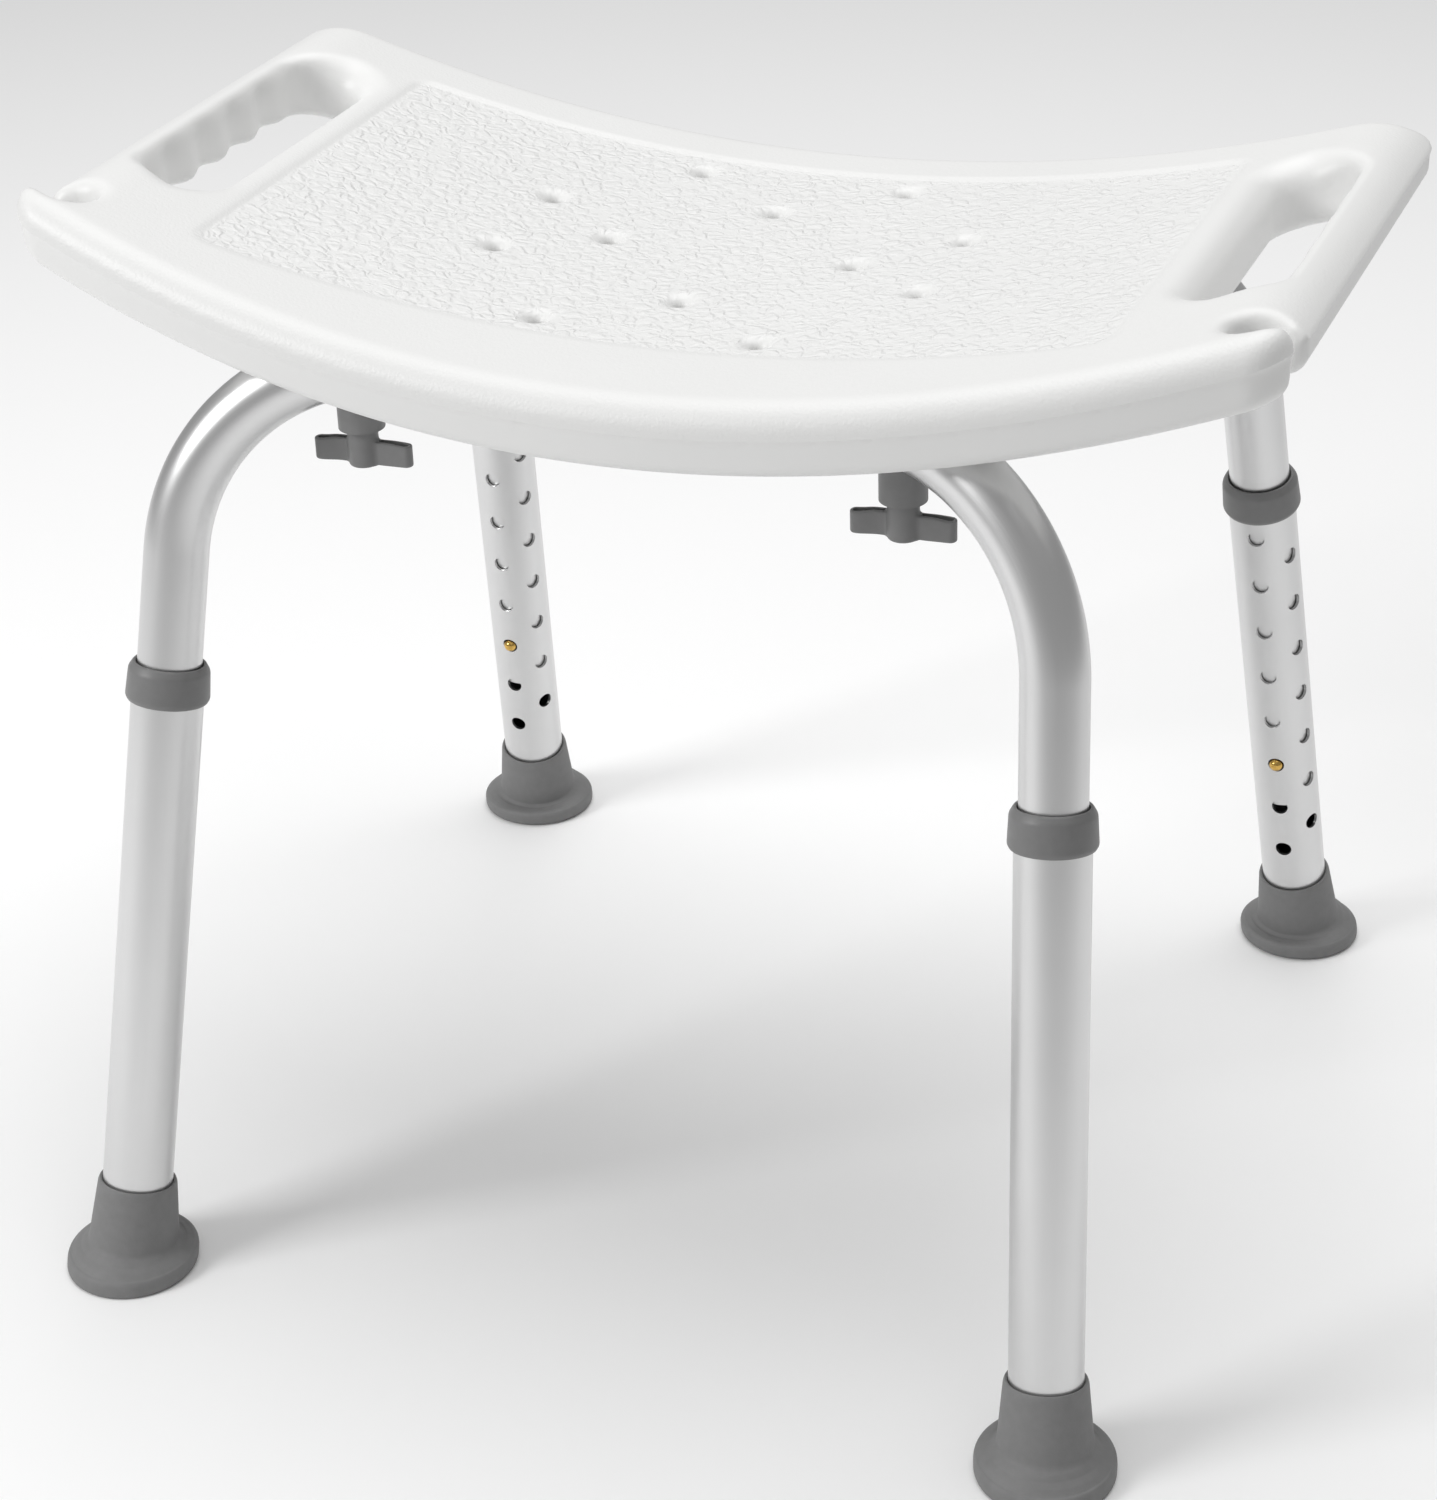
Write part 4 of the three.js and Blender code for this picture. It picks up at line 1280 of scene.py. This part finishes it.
@dataclass
class SnapButton:
    """The brass button that locks a leg: a flanged pin with a domed head."""

    corner: Corner
    radius: float = 3.1
    distance: float = 112.9
    tube_radius: float = 14.3
    reach: float = 2.4
    shoulder: float = 10.3

    def build(self) -> Surface:
        """The pin, turned about the button's own axis.

        Returns:
            The skin.
        """
        leg = leg_place(self.corner)
        crown = self.tube_radius + self.reach
        dome = np.radians(np.linspace(0, 90, 9))
        head = np.stack([self.radius * np.cos(dome), crown - self.radius + self.radius * np.sin(dome)], 1)
        head[-1, 0] = 0
        base = np.array([
            [0, self.shoulder - 1.5], [self.radius + 1, self.shoulder - 1.5],
            [self.radius + 1, self.shoulder], [self.radius, self.shoulder],
        ])
        middle = Place(leg.base + self.distance * leg.axis, leg.across, leg.axis)
        return middle.turned(np.concatenate([base, head]), 32)

    def dress(self) -> None:
        """Builds the button."""
        label = self.corner.label
        thing = piece("button_" + label + "_pin", self.build(), BUTTON_BRASS, "button_" + label,
                      ["snap_button_" + label])
        crease(thing, 50)


# ---- knobs and centre joint -----------------------------------------------------------------------


@dataclass
class ThumbKnob:
    """A moulded thumb knob with two hollow wings, and the saddle washer over it."""

    corner: Corner
    hub_radius: float = 6
    hub_height: float = 15
    wing_reach: float = 20
    wing_height: float = 9.5
    wing_half: float = 2.1
    tip_half: float = 2.6
    shell: float = 1.2
    wing_curl: float = 1.1
    wing_dip: float = 0.8
    wing_low: float = 0.6
    pocket_floor: float = 3.5
    bore_floor: float = 1.6
    stud_radius: float = 3.2
    saddle_radius: float = 9
    saddle_rings: int = 12
    saddle_sides: int = 64
    step: float = 0.45

    def middle(self) -> tuple[Array, float]:
        """The knob's centre in plan and its lowest level.

        Returns:
            The centre and the level.
        """
        low, high = node_box("thumb_knob_" + self.corner.label)
        return (low + high)[:2] / 2, low[2]

    def solid(self, x: Array, y: Array, z: Array) -> Array:
        """Distance to the knob round its own axis, with z from its bottom.

        The hub is a round bar and the wings are bars that swell to a full tip and curl a little, each
        with a pocket sunk from above.

        Args:
            x: place along the wings.
            y: place across them.
            z: height over the bottom.

        Returns:
            The distance in millimetres, negative inside.
        """
        half_height = self.hub_height / 2
        hub = round_max(np.hypot(x, y) - self.hub_radius, np.abs(z - half_height) - half_height, 1)
        out = np.abs(x)
        bend = np.sign(x) * self.wing_curl * smooth_step(out, 8, 18)
        half = self.wing_half + (self.tip_half - self.wing_half) * smooth_step(out, 9, 17)
        bar = np.hypot(np.maximum(out - self.wing_reach + half, 0), y - bend) - half
        dip = self.wing_dip * smooth_step(out, 10, 18)
        level = np.abs(z - self.wing_low - self.wing_height / 2 + dip / 2) - self.wing_height / 2 + dip / 2
        wings = round_max(bar, level, 0.7)
        pocket = np.maximum(bar + self.shell, self.pocket_floor - z)
        pocket = np.maximum(pocket, self.hub_radius + 1 - out)
        made = round_min(hub, round_max(wings, -pocket, 0.2), 1.2)
        bore = np.maximum(np.hypot(x, y) - self.stud_radius, self.bore_floor - z)
        return np.maximum(made, -bore)

    def build(self) -> Surface:
        """The knob's skin.

        Returns:
            The skin.
        """
        centre, low = self.middle()
        reach = np.array([self.wing_reach + 1.5, self.hub_radius + 1.5, 0])
        skin = surface_net(self.solid, -reach - [0, 0, 1.5], reach + [0, 0, self.hub_height + 1.5], self.step)
        points = settle(self.solid, skin.points, self.step)
        return Surface(points + [*centre, low], skin.quads)

    def build_saddle(self) -> Surface:
        """The washer: a disc on a grid of radius and angle, hollowed above to lie round the tube.

        Returns:
            The closed skin.
        """
        centre, _ = self.middle()
        box_low, box_high = node_box("saddle_washer_" + self.corner.label)
        rings = np.linspace(self.stud_radius + 0.3, self.saddle_radius, self.saddle_rings)
        line = TubeLine()
        path = line.half(self.corner)
        nearest = path[np.argmin(np.linalg.norm(path[:, :2] - centre, axis=1) + (path[:, 2] < 300) * 1e3)]
        way = line.heading(self.corner)[:2]
        way = way / np.linalg.norm(way)
        angle = np.linspace(0, 2 * np.pi, self.saddle_sides, endpoint=False)
        x, y = rings[:, None] * np.cos(angle), rings[:, None] * np.sin(angle)
        aside = np.abs(x * way[1] - y * way[0])
        roof = nearest[2] - np.sqrt(np.maximum((line.radius + 0.3) ** 2 - aside**2, 0))
        roof = np.minimum(roof, box_high[2])
        upper = np.stack([centre[0] + x, centre[1] + y, roof], -1)
        lower = upper.copy()
        lower[..., 2] = box_low[2]
        kept = np.ones((self.saddle_rings - 1, self.saddle_sides), bool)
        run = np.zeros((self.saddle_rings, self.saddle_sides, 2))
        return walled(lower, upper, kept, run)

    def dress(self) -> None:
        """Builds the knob and its washer."""
        label = self.corner.label
        crease(piece("knob_" + label + "_grip", self.build(), GREY_PLASTIC, "knob_" + label,
                     ["thumb_knob_" + label]), 60)
        crease(piece("saddle_" + label, self.build_saddle(), GREY_PLASTIC, "seat_frame",
                     ["saddle_washer_" + label]), 40)


@dataclass
class CentreJoint:
    """The hexagon bolt and nut that hold the two tubes together under the middle of the seat."""

    head: float = 5.2
    head_thickness: float = 4.0
    shank: float = 2.95
    thread_pitch: float = 1.0
    sides: int = 72

    def axis_place(self, node: str) -> tuple[Place, float]:
        """Where a node of the joint stands on the bolt's axis, along Y, and how long it is.

        Args:
            node: the CAD node.

        Returns:
            The place at its front end, and its length.
        """
        low, high = node_box(node)
        base = np.array([0, low[1], (low[2] + high[2]) / 2])
        return Place(base, np.array([0, 1.0, 0]), np.array([1.0, 0, 0])), high[1] - low[1]

    def hexagon(self) -> Array:
        """Factor on the radius at each angle that makes a ring a hexagon.

        Formula: cos(30) / cos(a), with a the angle from the middle of the nearest flat.

        Returns:
            The factors.
        """
        angle = np.linspace(0, 2 * np.pi, self.sides, endpoint=False)
        return math.cos(math.pi / 6) / np.cos((angle + math.pi / 6) % (math.pi / 3) - math.pi / 6)

    def build_bolt(self) -> Surface:
        """The head as a chamfered hexagon and the shank with thread rings, in one turned skin.

        Returns:
            The skin.
        """
        base, end = self.axis_place("join_bolt")
        thick = self.head_thickness
        turns = np.arange(thick + 24, end - 0.6, self.thread_pitch / 2)
        crest = self.shank - 0.25 * (np.arange(len(turns)) % 2)
        rows = [(0, 0), (self.head * 0.82, 0), (self.head, 0.7), (self.head, thick), (self.shank, thick)]
        profile = np.concatenate([rows, np.stack([crest, turns], 1), [(self.shank - 0.5, end), (0, end)]])
        spread = np.ones((len(profile), self.sides))
        spread[2:4] = self.hexagon()
        return base.turned(profile, self.sides, spread)

    def build_nut(self) -> Surface:
        """The nut: a hexagon with chamfered faces and a bore.

        Returns:
            The skin.
        """
        base, thick = self.axis_place("join_nut")
        bore = self.shank + 0.3
        profile = np.array([
            (bore, 0), (self.head * 0.84, 0), (self.head, 0.6), (self.head, thick - 0.6),
            (self.head * 0.84, thick), (bore, thick), (bore, 0),
        ])
        spread = np.ones((len(profile), self.sides))
        spread[2:4] = self.hexagon()
        return base.turned(profile, self.sides, spread)

    def dress(self) -> None:
        """Builds the bolt and the nut."""
        crease(piece("centre_bolt", self.build_bolt(), ZINC_STEEL, "seat_frame", ["join_bolt"]), 25)
        crease(piece("centre_nut", self.build_nut(), ZINC_STEEL, "seat_frame", ["join_nut"]), 25)


def dress_small_parts() -> None:
    """Gives the CAD nodes that stay their metal: springs, studs, washers, discs and inserts."""
    finishes = {
        "button_leaf_": SPRING_STEEL, "leaf_back_": SPRING_STEEL, "knob_stud_": ZINC_STEEL,
        "join_washer_": ZINC_STEEL, "foot_disc_": ZINC_STEEL, "seat_insert_": BUTTON_BRASS,
    }
    for name, thing in frame["nodes"].items():
        for start, finish in finishes.items():
            if name.startswith(start):
                thing.data.materials.clear()
                thing.data.materials.append(finish.material())
                log.info("%s keeps its CAD shape in %s", name, finish.name)


# ---- studio ---------------------------------------------------------------------------------------


@dataclass
class Studio:
    """Camera, pale floor and soft lights."""

    camera_place: tuple[float, float, float] = (0.4822, -1.1886, 0.8662)
    azimuth: float = 22.564
    elevation: float = 28.508
    roll: float = -1.935
    lens: float = 83.26
    floor_size: float = 14
    world: float = 0.34

    def add_camera(self) -> None:
        """The camera, turned by its azimuth, elevation and roll."""
        data = bpy.data.cameras.new("camera")
        data.lens = self.lens
        data.sensor_width = 36
        data.clip_end = 100
        thing = bpy.data.objects.new("camera", data)
        bpy.context.scene.collection.objects.link(thing)
        a, e, r = (math.radians(v) for v in (self.azimuth, self.elevation, self.roll))
        back = Vector((math.sin(a) * math.cos(e), -math.cos(a) * math.cos(e), math.sin(e)))
        right = Vector((0, 0, 1)).cross(back).normalized()
        up = back.cross(right)
        turned_right = math.cos(r) * right + math.sin(r) * up
        turned_up = -math.sin(r) * right + math.cos(r) * up
        turn = Matrix((turned_right, turned_up, back)).transposed()
        thing.matrix_world = Matrix.Translation(self.camera_place) @ turn.to_4x4()
        bpy.context.scene.camera = thing

    def add_floor(self) -> None:
        """A large pale floor."""
        half = self.floor_size / 2
        mesh = bpy.data.meshes.new("floor")
        corners = [(-half, -half, 0), (half, -half, 0), (half, half, 0), (-half, half, 0)]
        mesh.from_pydata(corners, [], [(0, 1, 2, 3)])
        made = bpy.data.materials.new("white_paper")
        made.use_nodes = True
        made.node_tree.nodes.clear()
        tree = made.node_tree
        shader = add_node(tree, "ShaderNodeBsdfDiffuse", {}, {"Color": (0.96, 0.96, 0.96, 1)})
        add_node(tree, "ShaderNodeOutputMaterial", {}, {"Surface": shader.outputs["BSDF"]})
        mesh.materials.append(made)
        floor = bpy.data.objects.new("floor", mesh)
        bpy.context.scene.collection.objects.link(floor)

    def add_light(self, name: str, place: tuple[float, float, float], size: float, power: float) -> None:
        """A square soft light that faces the stool.

        Args:
            name: its name.
            place: where it stands, in metres.
            size: its width.
            power: its power in watts.
        """
        data = bpy.data.lights.new(name, "AREA")
        data.size = size
        data.energy = power
        thing = bpy.data.objects.new(name, data)
        thing.location = place
        aim = Vector((0, 0, 0.25)) - Vector(place)
        thing.rotation_mode = "QUATERNION"
        thing.rotation_quaternion = aim.to_track_quat("-Z", "Y")
        bpy.context.scene.collection.objects.link(thing)

    def build(self) -> None:
        """The whole studio."""
        self.add_camera()
        self.add_floor()
        world = bpy.data.worlds.new("studio")
        world.use_nodes = True
        world.node_tree.nodes["Background"].inputs["Color"].default_value = (1, 1, 1, 1)
        world.node_tree.nodes["Background"].inputs["Strength"].default_value = self.world
        bpy.context.scene.world = world
        bpy.context.scene.view_settings.view_transform = "Standard"
        self.add_light("key", (-1.6, -1.5, 1.5), 0.9, 27)
        self.add_light("top", (0.1, 0.4, 2.4), 2.0, 36)


def main() -> None:
    """Builds the stool piece by piece, then the studio."""
    logging.basicConfig(level=logging.INFO, format="%(message)s")
    Seat().dress()
    Frames().dress()
    for corner in Corner:
        LowerLeg(corner).dress()
        SnapButton(corner).dress()
        ThumbKnob(corner).dress()
    CentreJoint().dress()
    dress_small_parts()
    Studio().build()


if __name__ == "__main__":
    main()
